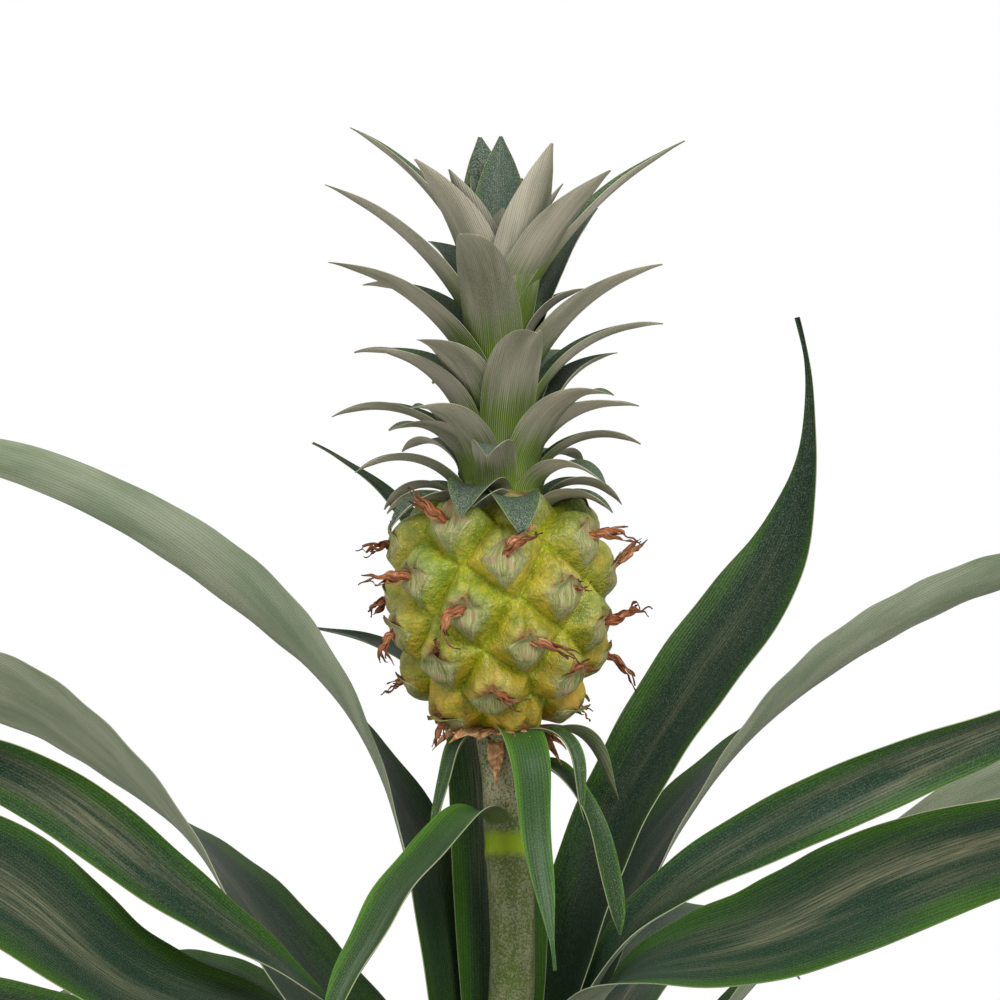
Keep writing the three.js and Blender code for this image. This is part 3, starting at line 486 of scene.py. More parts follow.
def draw(piece, purpose):
    """A repeatable number from 0 to 1: what follows the point in 43758.5453 sin(12.9898 piece +
    78.233 purpose)."""
    return np.mod(np.sin(np.asarray(piece) * 12.9898 + purpose * 78.233) * 43758.5453, 1)


def blade(number, azimuth, height, radius, length, width, leans, outline, wrap, cup, root_radius,
          sweep=0, twist=0, steps=60, across=11, middle=1.1, edge=0.35, ripple=0.3):
    """Rings of one gutter-shaped blade. Its middle line leaves (radius, height) at the azimuth and
    follows the leans. A cross-section is an arc of the opening angle, from the upper face right to
    left and back along the under face. The edges ripple by ripple u^2 sin(way / ripple length).
    The marks are (mm across, mm along, shift) and (share across, share along, tone)."""
    s = np.linspace(0, 1, steps + 1)
    u = np.linspace(-1, 1, across)
    lean = np.radians(through([(i / (len(leans) - 1), v) for i, v in enumerate(leans)])(s))
    root_share = np.radians(wrap) * root_radius / (width / 2)
    half = width / 2 * through([(0, root_share), *outline])(s)[:, None]
    opening = np.radians(through([(0, wrap), (0.1, 0.85 * wrap), (0.35, 1.2 * cup), (1, cup)])(s))
    turn = np.radians(azimuth + sweep * s ** SWEEP_POWER)
    along = np.stack([np.sin(lean) * np.sin(turn), -np.sin(lean) * np.cos(turn), np.cos(lean)], -1)
    flat = np.stack([np.cos(turn), np.sin(turn), 0 * turn], -1)
    up = np.cross(along, flat)
    roll = np.radians(twist * smoothstep(s, TWIST_FROM, TWIST_TO))[:, None]
    flat, up = flat * np.cos(roll) + up * np.sin(roll), up * np.cos(roll) - flat * np.sin(roll)
    start = radius * np.array([np.sin(turn[0]), -np.cos(turn[0]), height / radius])
    steps_on = (along[1:] + along[:-1]) / 2 * length / steps
    centre = np.vstack([start, start + np.cumsum(steps_on, 0)])[:, None]
    angle = opening[:, None] * u
    bend = half / opening[:, None]
    ripples = np.sin(length * s / RIPPLE_LENGTH * 2 * np.pi + 6 * draw(number, 8))[:, None]
    lift = ripple * u ** 2 * ripples * smoothstep(s, 0.08, 0.3)[:, None]
    fine = (0.3 + 0.7 * smoothstep(1 - s, 0, 0.15))[:, None]
    faces = []
    for thick in (0 * angle, fine * (edge + (middle - edge) * (1 - u ** 2))):
        out = ((bend + thick) * np.sin(angle))[..., None]
        rise = (bend * (1 - np.cos(angle)) - thick * np.cos(angle) + lift)[..., None]
        faces.append(centre + out * flat[:, None] + rise * up[:, None])
    marks = np.stack([u * half, s[:, None] * length + 0 * u, 17.3 * number + 0 * angle,
                      u + 0 * angle, s[:, None] + 0 * u, draw(number, 9) + 0 * angle], -1)
    upper, under = (np.concatenate([face, marks], -1) for face in faces)
    return np.concatenate([upper[:, ::-1], under], 1)


def faces_under(blades):
    """For each face that surface() makes of blades: 0 on the upper side, 1 on the edges, the under
    side and the end fans."""
    count, places = len(blades[0]) - 1, len(blades[0][0])
    quads = np.tile(np.arange(places) >= places // 2 - 1, count)
    return np.tile(np.r_[quads, np.ones(2 * places, bool)], len(blades))


def read_marks(tree):
    """The marks that a piece carries: the strip, and the share across, the share along and the
    tone, which are x, y and z of the mark called share."""
    strip = add_node(tree, "Attribute", out=1, attribute_name="strip")
    share = add_node(tree, "Attribute", out=1, attribute_name="share")
    return strip, *add_node(tree, "SeparateXYZ", {0: share}).node.outputs


def leaf_upper(name, deep, fresh, band, scurf, speckle, band_share=0.4, roughness=0.4, ruling=1.0):
    """The upper skin of a leaf: deep green, with bright stripes towards the edges, a greyer band of
    streaks along the middle, veins 1.1 mm apart, silver scales and a thin pale margin. The scales
    are drawn about 0.4 mm wide, coarser than real ones, so that they show."""
    made, tree, shader = new_material(name, roughness, Specular_IOR_Level=0.13)
    strip, across, along, tone = read_marks(tree)
    aside = add_node(tree, "Math", {0: across}, operation="ABSOLUTE")
    fine = add_node(tree, "Mapping", {"Vector": strip, "Scale": (ruling, 0.016, 1)})
    streak = add_node(tree, "TexNoise", {"Vector": fine, "Scale": 0.8, "Detail": 4, "Roughness": 0.72})
    threads = add_node(tree, "TexNoise", {"Vector": fine, "Scale": 1.7, "Detail": 4, "Roughness": 0.75})
    vein = add_node(tree, "TexWave", {"Vector": fine, "Scale": 0.285, "Distortion": 1.6, "Detail": 1})
    broad = add_node(tree, "Mapping", {"Vector": strip, "Scale": (0.13, 0.012, 1)})
    patch = add_node(tree, "TexNoise", {"Vector": broad, "Scale": 1, "Detail": 3})
    spread = add_node(tree, "Math", {0: patch, 1: 1.1, 2: aside}, operation="MULTIPLY_ADD")
    spread = add_node(tree, "Math", {0: streak, 1: 0.8, 2: spread}, operation="MULTIPLY_ADD")
    outer = add_node(tree, "MapRange", {"Value": spread, "From Min": 1.4, "From Max": 2.1},
                     interpolation_type="SMOOTHSTEP")
    skin = add_node(tree, "Mix", {0: outer, 6: deep, 7: fresh}, **BLENDED)
    young = add_node(tree, "MapRange", {"Value": along, "From Min": 0.3, "From Max": 0.02, "To Max": 0.6})
    skin = add_node(tree, "Mix", {0: young, 6: skin, 7: fresh}, **BLENDED)
    inner = add_node(tree, "MapRange", {"Value": aside, "From Min": band_share + 0.3, "From Max": 0.1})
    lit = add_node(tree, "MapRange", {"Value": patch, "From Min": 0.4, "From Max": 0.6})
    grey = add_node(tree, "MapRange", {"Value": threads, "From Min": 0.38, "From Max": 0.64})
    late = add_node(tree, "MapRange", {"Value": along, "From Min": 0.25, "From Max": 0.5, "To Min": 0.15})
    own = add_node(tree, "MapRange", {"Value": tone, "From Min": 0.05, "From Max": 0.5, "To Min": 0.1})
    for part in (lit, grey, late, own):
        inner = add_node(tree, "Math", {0: inner, 1: part}, operation="MULTIPLY")
    skin = add_node(tree, "Mix", {0: inner, 6: skin, 7: band}, **BLENDED)
    line = add_node(tree, "MapRange", {"Value": vein, "From Min": 0.1, "From Max": 0.7, "To Min": 0.72})
    tint = add_node(tree, "MapRange", {"Value": tone, "To Min": 0.8, "To Max": 1.15})
    line = add_node(tree, "Math", {0: line, 1: tint}, operation="MULTIPLY")
    skin = add_node(tree, "Mix", {0: 1.0, 6: skin, 7: line}, **MULTIPLIED)
    dots = add_node(tree, "TexNoise", {"Vector": strip, "Scale": 2.3 * ruling, "Detail": 1, "Roughness": 0.9})
    dots = add_node(tree, "MapRange", {"Value": dots, "From Min": 0.52, "From Max": 0.68, "To Max": speckle})
    dust = add_node(tree, "MapRange", {"Value": along, "From Min": 0.3, "From Max": 0.85, "To Min": 0.6})
    dots = add_node(tree, "Math", {0: dots, 1: dust}, operation="MULTIPLY")
    skin = add_node(tree, "Mix", {0: dots, 6: skin, 7: scurf}, **BLENDED)
    margin = add_node(tree, "MapRange", {"Value": aside, "From Min": 0.975, "From Max": 1.0, "To Max": 0.3})
    skin = add_node(tree, "Mix", {0: margin, 6: skin, 7: "#93a06a"}, **BLENDED)
    rough = add_node(tree, "MapRange", {"Value": dots, "To Min": roughness, "To Max": roughness + 0.3})
    bump = add_node(tree, "Bump", {"Height": vein, "Strength": 0.3, "Distance": 0.0002})
    connect(tree, shader, Base_Color=skin, Roughness=rough, Normal=bump)
    return made


def leaf_under(name, felt, line, root, root_share, glitter=0.1, roughness=0.65, ruling=1.0):
    """The under side of a leaf: a pale felt of flat scales, ruled by green veins about a
    millimetre apart, where it wears thin towards the clasping root."""
    made, tree, shader = new_material(name, roughness, Specular_IOR_Level=0.1)
    strip, across, along, tone = read_marks(tree)
    aside = add_node(tree, "Math", {0: across}, operation="ABSOLUTE")
    fine = add_node(tree, "Mapping", {"Vector": strip, "Scale": (ruling, 0.02, 1)})
    streak = add_node(tree, "TexNoise", {"Vector": fine, "Scale": 0.9, "Detail": 3, "Roughness": 0.7})
    vein = add_node(tree, "TexWave", {"Vector": fine, "Scale": 0.3, "Distortion": 1.2, "Detail": 1})
    broad = add_node(tree, "Mapping", {"Vector": strip, "Scale": (0.12, 0.016, 1)})
    patch = add_node(tree, "TexNoise", {"Vector": broad, "Scale": 1, "Detail": 3})
    dots = add_node(tree, "TexNoise", {"Vector": strip, "Scale": 2.2 * ruling, "Detail": 1, "Roughness": 0.9})
    ruled = add_node(tree, "MapRange", {"Value": vein, "From Min": 0.7, "From Max": 0.1, "To Max": 0.6})
    worn = add_node(tree, "MapRange", {"Value": streak, "From Min": 0.36, "From Max": 0.62, "To Min": 0.25})
    ruled = add_node(tree, "Math", {0: ruled, 1: worn}, operation="MULTIPLY")
    cloudy = add_node(tree, "MapRange", {"Value": patch, "From Min": 0.38, "From Max": 0.66, "To Max": 0.8})
    pale = add_node(tree, "Mix", {0: cloudy, 6: felt, 7: line}, **BLENDED)
    keel = add_node(tree, "MapRange", {"Value": aside, "From Min": 0.09, "From Max": 0.0, "To Max": 0.35})
    ruled = add_node(tree, "Math", {0: ruled, 1: keel}, operation="MAXIMUM")
    skin = add_node(tree, "Mix", {0: ruled, 6: pale, 7: line}, **BLENDED)
    glint = add_node(tree, "MapRange", {"Value": dots, "From Min": 0.52, "From Max": 0.72, "To Max": glitter})
    skin = add_node(tree, "Mix", {0: glint, 6: skin, 7: "#b0b09e"}, **BLENDED)
    near = add_node(tree, "Math", {0: patch, 1: 0.16, 2: along}, operation="MULTIPLY_ADD")
    near = add_node(tree, "Math", {0: streak, 1: 0.5, 2: near}, operation="MULTIPLY_ADD")
    near = add_node(tree, "MapRange", {"Value": near, "From Min": root_share + 0.42,
                                       "From Max": root_share + 0.18}, interpolation_type="SMOOTHSTEP")
    gap = add_node(tree, "MapRange", {"Value": vein, "From Min": 0.4, "From Max": 0.95, "To Min": 1,
                                      "To Max": 0.55})
    near = add_node(tree, "Math", {0: near, 1: gap}, operation="MULTIPLY")
    skin = add_node(tree, "Mix", {0: near, 6: skin, 7: root}, **BLENDED)
    tint = add_node(tree, "MapRange", {"Value": tone, "To Min": 0.86, "To Max": 1.1})
    skin = add_node(tree, "Mix", {0: 1.0, 6: skin, 7: tint}, **MULTIPLIED)
    margin = add_node(tree, "MapRange", {"Value": aside, "From Min": 0.975, "From Max": 1.0, "To Max": 0.4})
    skin = add_node(tree, "Mix", {0: margin, 6: skin, 7: "#a3a888"}, **BLENDED)
    bump = add_node(tree, "Bump", {"Height": vein, "Strength": 0.35, "Distance": 0.0002})
    connect(tree, shader, Base_Color=skin, Normal=bump)
    return made


# Waxy cuticle of a young leaf: a fresher green than the large leaves, with a soft shine. Its back
# is a thin matt felt, through which the green shows.
bract_upper = leaf_upper("waxy_bract_skin", "#2a4620", "#44701a", "#62735a", "#99a18c", 0.3, 0.35)
bract_under = leaf_under("felted_bract_back", "#7f8168", "#5f6c45", "#5f7a2c", 0.1, 0.2)
bract_rings = []
for i, bract in enumerate(BRACTS):
    rings = blade(**{"number": i, "radius": STALK_RADIUS - BRACT_ROOT, "root_radius": STALK_RADIUS,
                     "wrap": BRACT_WRAP, "cup": BRACT_CUP, **bract})
    rings[..., 0] += bow(rings[..., 2])
    bract_rings.append(rings)
add_piece("stalk_bracts", surface(bract_rings), [bract_upper, bract_under],
          marks=["strip", "share"], choice=faces_under(bract_rings))

# Rosette leaves: long, stiff, gutter-shaped straps that clasp the stem and arch over. They grew
# one after another round it, so the upper ones stand inside the lower ones.
LEAF_WRAP = 50
LEAF_CUP = 24
LEAF_SEAT = 0.6
LEAF_STEPS = 110
LEAF_ACROSS = 17
LEAF_FIRST_NUMBER = 20
LEAF_OUTLINE = [[0.22, 0.88], [0.45, 1], [0.68, 0.84], [0.85, 0.46], [0.95, 0.16], [1, 0.03]]
SLENDER_OUTLINE = [[0.22, 0.9], [0.38, 1], [0.58, 0.82], [0.76, 0.4], [0.9, 0.14], [1, 0.03]]
LEAVES = [
    dict(azimuth=88, height=112, length=360, width=34, leans=[52, 68, 88, 106, 122], twist=20),
    dict(azimuth=-120, height=115, length=370, width=34, leans=[50, 66, 86, 104, 122], twist=20),
    dict(azimuth=2, height=116, length=360, width=34, leans=[50, 70, 90, 108, 124], twist=10),
    dict(azimuth=126, height=121, length=370, width=34, leans=[46, 64, 84, 102, 120], twist=-20),
    dict(azimuth=-47, height=122, length=390, width=36, leans=[42, 66, 86, 106, 124], twist=-25),
    dict(azimuth=178, height=126, length=390, width=34, leans=[44, 62, 82, 100, 118], twist=15),
    dict(azimuth=48, height=126, length=380, width=36, leans=[40, 64, 84, 104, 122], twist=25),
    dict(azimuth=-22, height=131, length=390, width=36, leans=[34, 62, 84, 102, 120], twist=-20),
    dict(azimuth=-146, height=132, length=390, width=34, leans=[38, 58, 80, 100, 118], twist=-25),
    dict(azimuth=24, height=137, length=370, width=36, leans=[28, 58, 80, 100, 118], twist=15),
    dict(azimuth=159, height=138, length=390, width=34, leans=[31, 54, 78, 100, 118], twist=20),
    dict(azimuth=-95, height=139, length=380, width=34, leans=[34, 56, 80, 88, 118], twist=-51, sweep=10,
         cup=14),
    dict(azimuth=104, height=141, length=420, width=33, leans=[28, 35, 45, 57, 83, 100, 114], twist=-58,
         sweep=-1),
    dict(azimuth=-61, height=145, length=430, width=44, leans=[24, 32, 76, 50, 82, 94, 108], twist=-102,
         sweep=3,
         outline=[[0.22, 0.91], [0.45, 1.02], [0.68, 0.81], [0.85, 0.46], [0.95, 0.16], [1, 0.03]]),
    dict(azimuth=50, height=147, length=430, width=41, leans=[23, 8, 75, 66, 74, 90, 108], twist=118,
         sweep=-2, cup=23,
         outline=[[0.22, 0.87], [0.45, 1.01], [0.68, 0.8], [0.85, 0.48], [0.95, 0.16], [1, 0.03]]),
    dict(azimuth=-61, height=153, length=430, width=24, leans=[24, 30, 55, 52, 76, 92, 106], twist=-139,
         sweep=1, cup=26),
    dict(azimuth=79, height=154, length=430, width=24, leans=[18, 7, 53, 65, 73, 92, 108], twist=128,
         sweep=48, cup=30, wrap=32),
    dict(azimuth=-132, height=160, length=440, width=56, leans=[21, 55, 45, 62, 69, 98, 118], twist=55,
         sweep=-3, cup=26,
         outline=[[0.22, 1.0], [0.45, 1.08], [0.68, 0.86], [0.85, 0.47], [0.95, 0.16], [1, 0.03]]),
    dict(azimuth=136, height=162, length=450, width=38, leans=[12, 26, 45, 59, 69, 80, 107], twist=-54,
         sweep=-5, cup=31, wrap=38,
         outline=[[0.22, 0.88], [0.45, 1.12], [0.68, 0.78], [0.85, 0.53], [0.95, 0.16], [1, 0.03]]),
    dict(azimuth=-134, height=170, length=480, width=34, leans=[9, 12, 35, 55, 68, 79, 102], twist=102,
         sweep=5, cup=28,
         outline=[[0.22, 1.21], [0.45, 0.91], [0.68, 0.57], [0.85, 0.44], [0.95, 0.16], [1, 0.03]]),
    dict(azimuth=121, height=171, length=350, width=39, leans=[8, 12, 21, 35, 40, 12, -18], twist=30,
         sweep=-3, cup=25,
         outline=[[0.22, 0.98], [0.45, 0.94], [0.68, 0.89], [0.85, 0.22], [0.95, 0.06], [1, 0.06]]),
    dict(azimuth=176, height=177, length=280, width=20, leans=[6, 10, 22, 39, 72, 87], twist=-11, sweep=66,
         wrap=30),
    dict(azimuth=176, height=184, length=304, width=35, leans=[3, 9, 16, 24, 46, 67], twist=-21, sweep=69,
         outline=SLENDER_OUTLINE),
]

# Waxy cuticle: dark green with a soft shine and a cast of blue, streaked grey-brown along the
# middle and dusted with silver scales. The back is a matt grey-green felt.
strap_upper = leaf_upper("waxy_leaf_cuticle", "#1f3624", "#355a10", "#7f7c62", "#8f9788", 0.26)
strap_under = leaf_under("felted_leaf_back", "#8f957f", "#66755a", "#5f7a3a", 0.06)
stem_taper = (STEM_RADIUS - STALK_RADIUS) / (STALK_START - SOIL_TOP)
for i, leaf in enumerate(LEAVES):
    clear = FIT_GAP + LEAF_SEAT * np.cos(np.radians(leaf["leans"][0])) ** 2
    seat = STEM_RADIUS - stem_taper * (leaf["height"] - SOIL_TOP) + clear
    rings = blade(**{"number": LEAF_FIRST_NUMBER + i, "radius": seat, "root_radius": seat,
                     "wrap": LEAF_WRAP, "cup": LEAF_CUP, "outline": LEAF_OUTLINE, "steps": LEAF_STEPS,
                     "across": LEAF_ACROSS, **leaf})
    add_piece(f"rosette_leaf_{i + 1:02d}", surface(rings), [strap_upper, strap_under],
              [f"leaf_{i + 1:02d}"], marks=["strip", "share"], choice=faces_under([rings]))

# Fruit: some thirty-five fruitlets grown together round the stalk's end, wound on a golden-angle
# spiral. Each swells between sunk seams: two fleshy sepals above, a fibrous bract below.
GOLDEN_ANGLE = 137.508
FRUIT_BASE = STALK_TOP + FIT_GAP
FRUIT_TOP = 423.5
FRUIT_RADIUS = 36.6
FRUIT_OUTLINE = [
    [0, 0], [0.26, 0], [0.5, 0.05], [0.74, 0.15], [0.9, 0.3], [0.985, 0.48], [1, 0.66], [0.95, 0.82],
    [0.8, 0.93], [0.52, 0.99], [0.2, 1], [0, 1],
]
FRUIT_ROWS = 230
FRUIT_COLUMNS = 420
FRUIT_LINE_POINTS = 2400
EYES = 35
FIRST_EYE = 345
EYE_RISE = 2.27
EYE_START = 27.4
SWELL = 6.2
SEAM_NICK = 0.9
SEPAL_CREASE = 1.8
SEPAL_RIDGE = 0.9
BRACT_RAISED = 0.2
BRACT_KEEL = 0.7
BRACT_FOOT = -13
BRACT_HALF = 9
SKIN_WRINKLE = 0.32
EYE_DIP = 1.1

# Fleshy skin of the fruitlets: yellow-green and wet-looking in the seams, with a thin grey-green
# bloom on the sepals and a fan of pale fibres on each bract. Scars round the eyes are brown, and small pale
# dots over the skin are painted glints.
fruit_skin, tree, shader = new_material("fleshy_fruit_skin", 0.4, ior=1.4, Specular_IOR_Level=0.4)
strip, inside, on_bract, tone = read_marks(tree)
place = add_node(tree, "TexCoord", out=3)
level = add_node(tree, "SeparateXYZ", {0: place}, out=2)
aside = add_node(tree, "SeparateXYZ", {0: strip})
rise = aside.node.outputs[1]
mottle = add_node(tree, "TexNoise", {"Vector": place, "Scale": 150, "Detail": 4, "Roughness": 0.65})
cloud = add_node(tree, "TexNoise", {"Vector": place, "Scale": 60, "Detail": 2})
cell = add_node(tree, "TexVoronoi", {"Vector": place, "Scale": 1100})
ripe = add_node(tree, "MapRange", {"Value": mottle, "From Min": 0.3, "From Max": 0.7, "To Min": -0.4,
                                   "To Max": 0.4})
ripe = add_node(tree, "Math", {0: ripe, 1: tone}, operation="ADD", use_clamp=True)
flesh = add_node(tree, "Mix", {0: ripe, 6: "#6c7f1c", 7: "#a1922c"}, **BLENDED)
bloom = add_node(tree, "Math", {0: inside, 1: cloud}, operation="MULTIPLY")
bloom = add_node(tree, "MapRange", {"Value": bloom, "From Min": 0.1, "From Max": 0.36, "To Max": 0.85})
flesh = add_node(tree, "Mix", {0: bloom, 6: flesh, 7: "#879058"}, **BLENDED)
high = add_node(tree, "MapRange", {"Value": level, "From Min": 0.402, "From Max": 0.418, "To Max": 0.7})
flesh = add_node(tree, "Mix", {0: high, 6: flesh, 7: "#66752f"}, **BLENDED)
low = add_node(tree, "MapRange", {"Value": level, "From Min": 0.39, "From Max": 0.35, "To Max": 1.15})
low = add_node(tree, "Math", {0: low, 1: mottle}, operation="MULTIPLY")
flesh = add_node(tree, "Mix", {0: low, 6: flesh, 7: "#a37c18"}, **BLENDED)
down = add_node(tree, "Math", {0: rise, 1: 15.0}, operation="ADD")
fan = add_node(tree, "Math", {0: aside, 1: down}, operation="ARCTAN2")
fan = add_node(tree, "CombineXYZ", {0: fan, 1: tone})
fan = add_node(tree, "Mapping", {"Vector": fan, "Scale": (34, 9, 1)})
fibre = add_node(tree, "TexNoise", {"Vector": fan, "Scale": 1, "Detail": 4, "Roughness": 0.75})
hair = add_node(tree, "MapRange", {"Value": fibre, "From Min": 0.42, "From Max": 0.64})
papery = add_node(tree, "Mix", {0: hair, 6: "#6f7a38", 7: "#c0bb92"}, **BLENDED)
cover = add_node(tree, "MapRange", {"Value": mottle, "From Min": 0.25, "From Max": 0.5})
cover = add_node(tree, "Math", {0: cover, 1: on_bract}, operation="MULTIPLY")
flesh = add_node(tree, "Mix", {0: cover, 6: flesh, 7: papery}, **BLENDED)
seam = add_node(tree, "MapRange", {"Value": inside, "From Min": 0.18, "From Max": 0.01},
                interpolation_type="SMOOTHSTEP")
seam_green = add_node(tree, "Mix", {0: mottle, 6: "#62750a", 7: "#989614"}, **BLENDED)
flesh = add_node(tree, "Mix", {0: seam, 6: flesh, 7: seam_green}, **BLENDED)
# Painted glints: pale yellow dots at the middles of small cells, standing in for wet highlights on the skin.
painted_glints = add_node(tree, "MapRange", {"Value": cell, "From Min": 0.35, "From Max": 0.05, "To Max": 0.3})
flesh = add_node(tree, "Mix", {0: painted_glints, 6: flesh, 7: "#cfcf7a"}, **BLENDED)
round_eye = add_node(tree, "VectorMath", {0: strip, 1: (1, 1, 0)}, operation="MULTIPLY")
round_eye = add_node(tree, "VectorMath", {0: round_eye}, out=1, operation="LENGTH")
scar = add_node(tree, "Math", {0: mottle, 1: -11.0, 2: round_eye}, operation="MULTIPLY_ADD")
scar = add_node(tree, "MapRange", {"Value": scar, "From Min": 0.2, "From Max": -3.2, "To Max": 0.8})
flesh = add_node(tree, "Mix", {0: scar, 6: flesh, 7: "#84553f"}, **BLENDED)
depth = add_node(tree, "MapRange", {"Value": mottle, "From Min": 0.32, "From Max": 0.62, "To Min": 0.8,
                                    "To Max": 1.18})
flesh = add_node(tree, "Mix", {0: 1.0, 6: flesh, 7: depth}, **MULTIPLIED)
rust = add_node(tree, "TexNoise", {"Vector": place, "Scale": 380, "Detail": 3, "Roughness": 0.6})
rust = add_node(tree, "MapRange", {"Value": rust, "From Min": 0.6, "From Max": 0.7, "To Max": 0.55})
flesh = add_node(tree, "Mix", {0: rust, 6: flesh, 7: "#8a6a2c"}, **BLENDED)
rough = add_node(tree, "MapRange", {"Value": inside, "From Max": 0.5, "To Min": 0.2, "To Max": 0.34})
rough = add_node(tree, "Math", {0: cover, 1: 0.3, 2: rough}, operation="MULTIPLY_ADD")
relief = add_node(tree, "Math", {0: hair, 1: cover}, operation="MULTIPLY")
relief = add_node(tree, "Math", {0: cell, 1: -0.8, 2: relief}, operation="MULTIPLY_ADD")
grain = add_node(tree, "Bump", {"Height": relief, "Strength": 0.6, "Distance": 0.0004})
dimple = add_node(tree, "TexNoise", {"Vector": place, "Scale": 420, "Detail": 3, "Distortion": 0.6})
bump = add_node(tree, "Bump", {"Height": dimple, "Strength": 0.6, "Distance": 0.0016, "Normal": grain})
connect(tree, shader, Base_Color=flesh, Roughness=rough, Normal=bump)

spots = np.arange(len(FRUIT_OUTLINE))
fine = np.linspace(0, spots[-1], FRUIT_LINE_POINTS)
outline = np.array(FRUIT_OUTLINE) * [FRUIT_RADIUS, FRUIT_TOP - FRUIT_BASE] + [0, FRUIT_BASE]
fruit_line = np.stack([through(list(zip(spots, column)))(fine) for column in outline.T], -1)
fruit_way = np.cumsum(np.r_[0, np.hypot(*np.diff(fruit_line, axis=0).T)])
tangent = np.gradient(fruit_line, axis=0)
tangent /= np.linalg.norm(tangent, axis=1, keepdims=True) + 1e-12
eye_number = np.arange(EYES)
eye_height = FIRST_EYE + EYE_RISE * eye_number
eye_azimuth = np.radians(EYE_START + GOLDEN_ANGLE * eye_number)
rising = slice(FRUIT_LINE_POINTS // 8, -FRUIT_LINE_POINTS // 8)
eye_way, eye_radius = (np.interp(eye_height, fruit_line[rising, 1], column[rising])
                       for column in (fruit_way, fruit_line[:, 0]))
eye_out = np.stack([np.sin(eye_azimuth), -np.cos(eye_azimuth), 0 * eye_azimuth], -1)
eye_side = np.stack([np.cos(eye_azimuth), np.sin(eye_azimuth), 0 * eye_azimuth], -1)
eyes = eye_out * eye_radius[:, None] + eye_height[:, None] * [0, 0, 1]


def on_fruit(turn, way):
    """The skin at an angle and a way up the outline, the way off it, and the marks. It stands out by
    a pillow over each eye, sunk along the seam where the two nearest eyes are equally far. A crease
    parts the sepals above the eye, and the bract's wedge below it is raised along its middle."""
    radius, height, out_share, up_share = (
        np.interp(way, fruit_way, column)[..., None] for column in (*fruit_line.T, *tangent.T))
    radial = np.stack([np.sin(turn), -np.cos(turn), 0 * turn], -1)
    bare = radius * radial + height * [0, 0, 1]
    normal = radial * up_share - out_share * [0, 0, 1]
    gaps = np.linalg.norm(bare[..., None, :] - eyes, axis=-1)
    nearest = gaps.argmin(-1)
    two = np.partition(gaps, 1, axis=-1)[..., :2]
    inside = (two[..., 1] - two[..., 0]) / (two[..., 1] + two[..., 0])
    x = ((bare - eyes[nearest]) * eye_side[nearest]).sum(-1)
    y = way - eye_way[nearest]
    wedge = BRACT_HALF * (1 - y / BRACT_FOOT)
    on_bract = smoothstep(wedge - np.abs(x), 0, 1) * smoothstep(0.8 - y - 0.15 * np.abs(x), 0, 1)
    on_bract *= smoothstep(inside, 0.02, 0.1)
    keel = 1 - np.clip(np.abs(x) / np.maximum(wedge, 0.5), 0, 1)
    crease = np.exp(-(x / 1.2) ** 2) * smoothstep(y, 1, 4) * smoothstep(inside, 0.03, 0.25)
    ridge = np.exp(-((np.abs(x) - 1.1 * y - 1.5) / 2.6) ** 2) * smoothstep(y, -1.5, 2.5)
    relief = SWELL * (smoothstep(inside, -0.1, 0.55) - 0.5)
    relief -= SEPAL_CREASE * crease
    relief -= SEAM_NICK * np.exp(-inside / 0.045)
    relief += SEPAL_RIDGE * ridge * smoothstep(inside, 0.08, 0.4)
    relief += on_bract * (BRACT_RAISED + BRACT_KEEL * keel)
    relief += SKIN_WRINKLE * waves(bare, 5, 21) * smoothstep(inside, 0.05, 0.4)
    relief -= EYE_DIP * np.exp(-(two[..., 0] / 2.2) ** 2)
    calm = smoothstep(np.hypot(bare[..., 0], bare[..., 1]), 9, 17)
    marks = np.stack([x, y, nearest, inside, on_bract, draw(nearest, 12)], -1)
    return bare + normal * (relief * calm)[..., None], normal, marks


turn, way = np.meshgrid(np.linspace(0, 2 * np.pi, FRUIT_COLUMNS, endpoint=False),
                        np.linspace(0.004, 0.996, FRUIT_ROWS) * fruit_way[-1])
skin, _, marks = on_fruit(turn, way)
add_piece("fruit_skin", surface(np.concatenate([skin, marks], -1)), [fruit_skin], ["fruit"],
          marks=["strip", "share"], sharp=75)

# Fruit bracts: each fruitlet's own bract, grown to it from the seam below and free at its tip,
# which stands up round the floret. They are thin, dry at the tip and ribbed with pale fibres.
TIPS_STEPS = 20
TIPS_ACROSS = 9
TIPS_THICK = 0.45
FIRST_OPEN_EYE = 2
LAST_BRACT_EYE = 32
TIP_RISE = [[0, -12], [0.6, -2], [0.8, 1.4], [1, 4.6]]
TIP_LIFT = [[0, -0.6], [0.3, -0.1], [0.6, 0.05], [0.8, 0.9], [1, 3.6]]
TIP_HALF = [[0, 0.6], [0.3, 4.8], [0.58, 7.6], [0.72, 6.4], [0.86, 2.8], [1, 0.15]]

# Fibrous bract skin: parchment over green, with white fibres running to a brown, dried point.
bract_paper, tree, shader = new_material("fibrous_fruit_bract", 0.66, Specular_IOR_Level=0.25)
strip, _, along, tone = read_marks(tree)
share = add_node(tree, "Attribute", out=1, attribute_name="share")
rays = add_node(tree, "Mapping", {"Vector": share, "Scale": (11, 1.6, 7)})
fibre = add_node(tree, "TexNoise", {"Vector": rays, "Scale": 1, "Detail": 4, "Roughness": 0.75,
                                    "Distortion": 0.9})
patch = add_node(tree, "TexNoise", {"Vector": strip, "Scale": 0.3, "Detail": 2})
hair = add_node(tree, "MapRange", {"Value": fibre, "From Min": 0.42, "From Max": 0.62})
green = add_node(tree, "Mix", {0: tone, 6: "#616e2e", 7: "#7c823e"}, **BLENDED)
paper = add_node(tree, "Mix", {0: hair, 6: green, 7: "#aeaa80"}, **BLENDED)
pink = add_node(tree, "MapRange", {"Value": patch, "From Min": 0.5, "From Max": 0.7, "To Max": 0.6})
paper = add_node(tree, "Mix", {0: pink, 6: paper, 7: "#a07c62"}, **BLENDED)
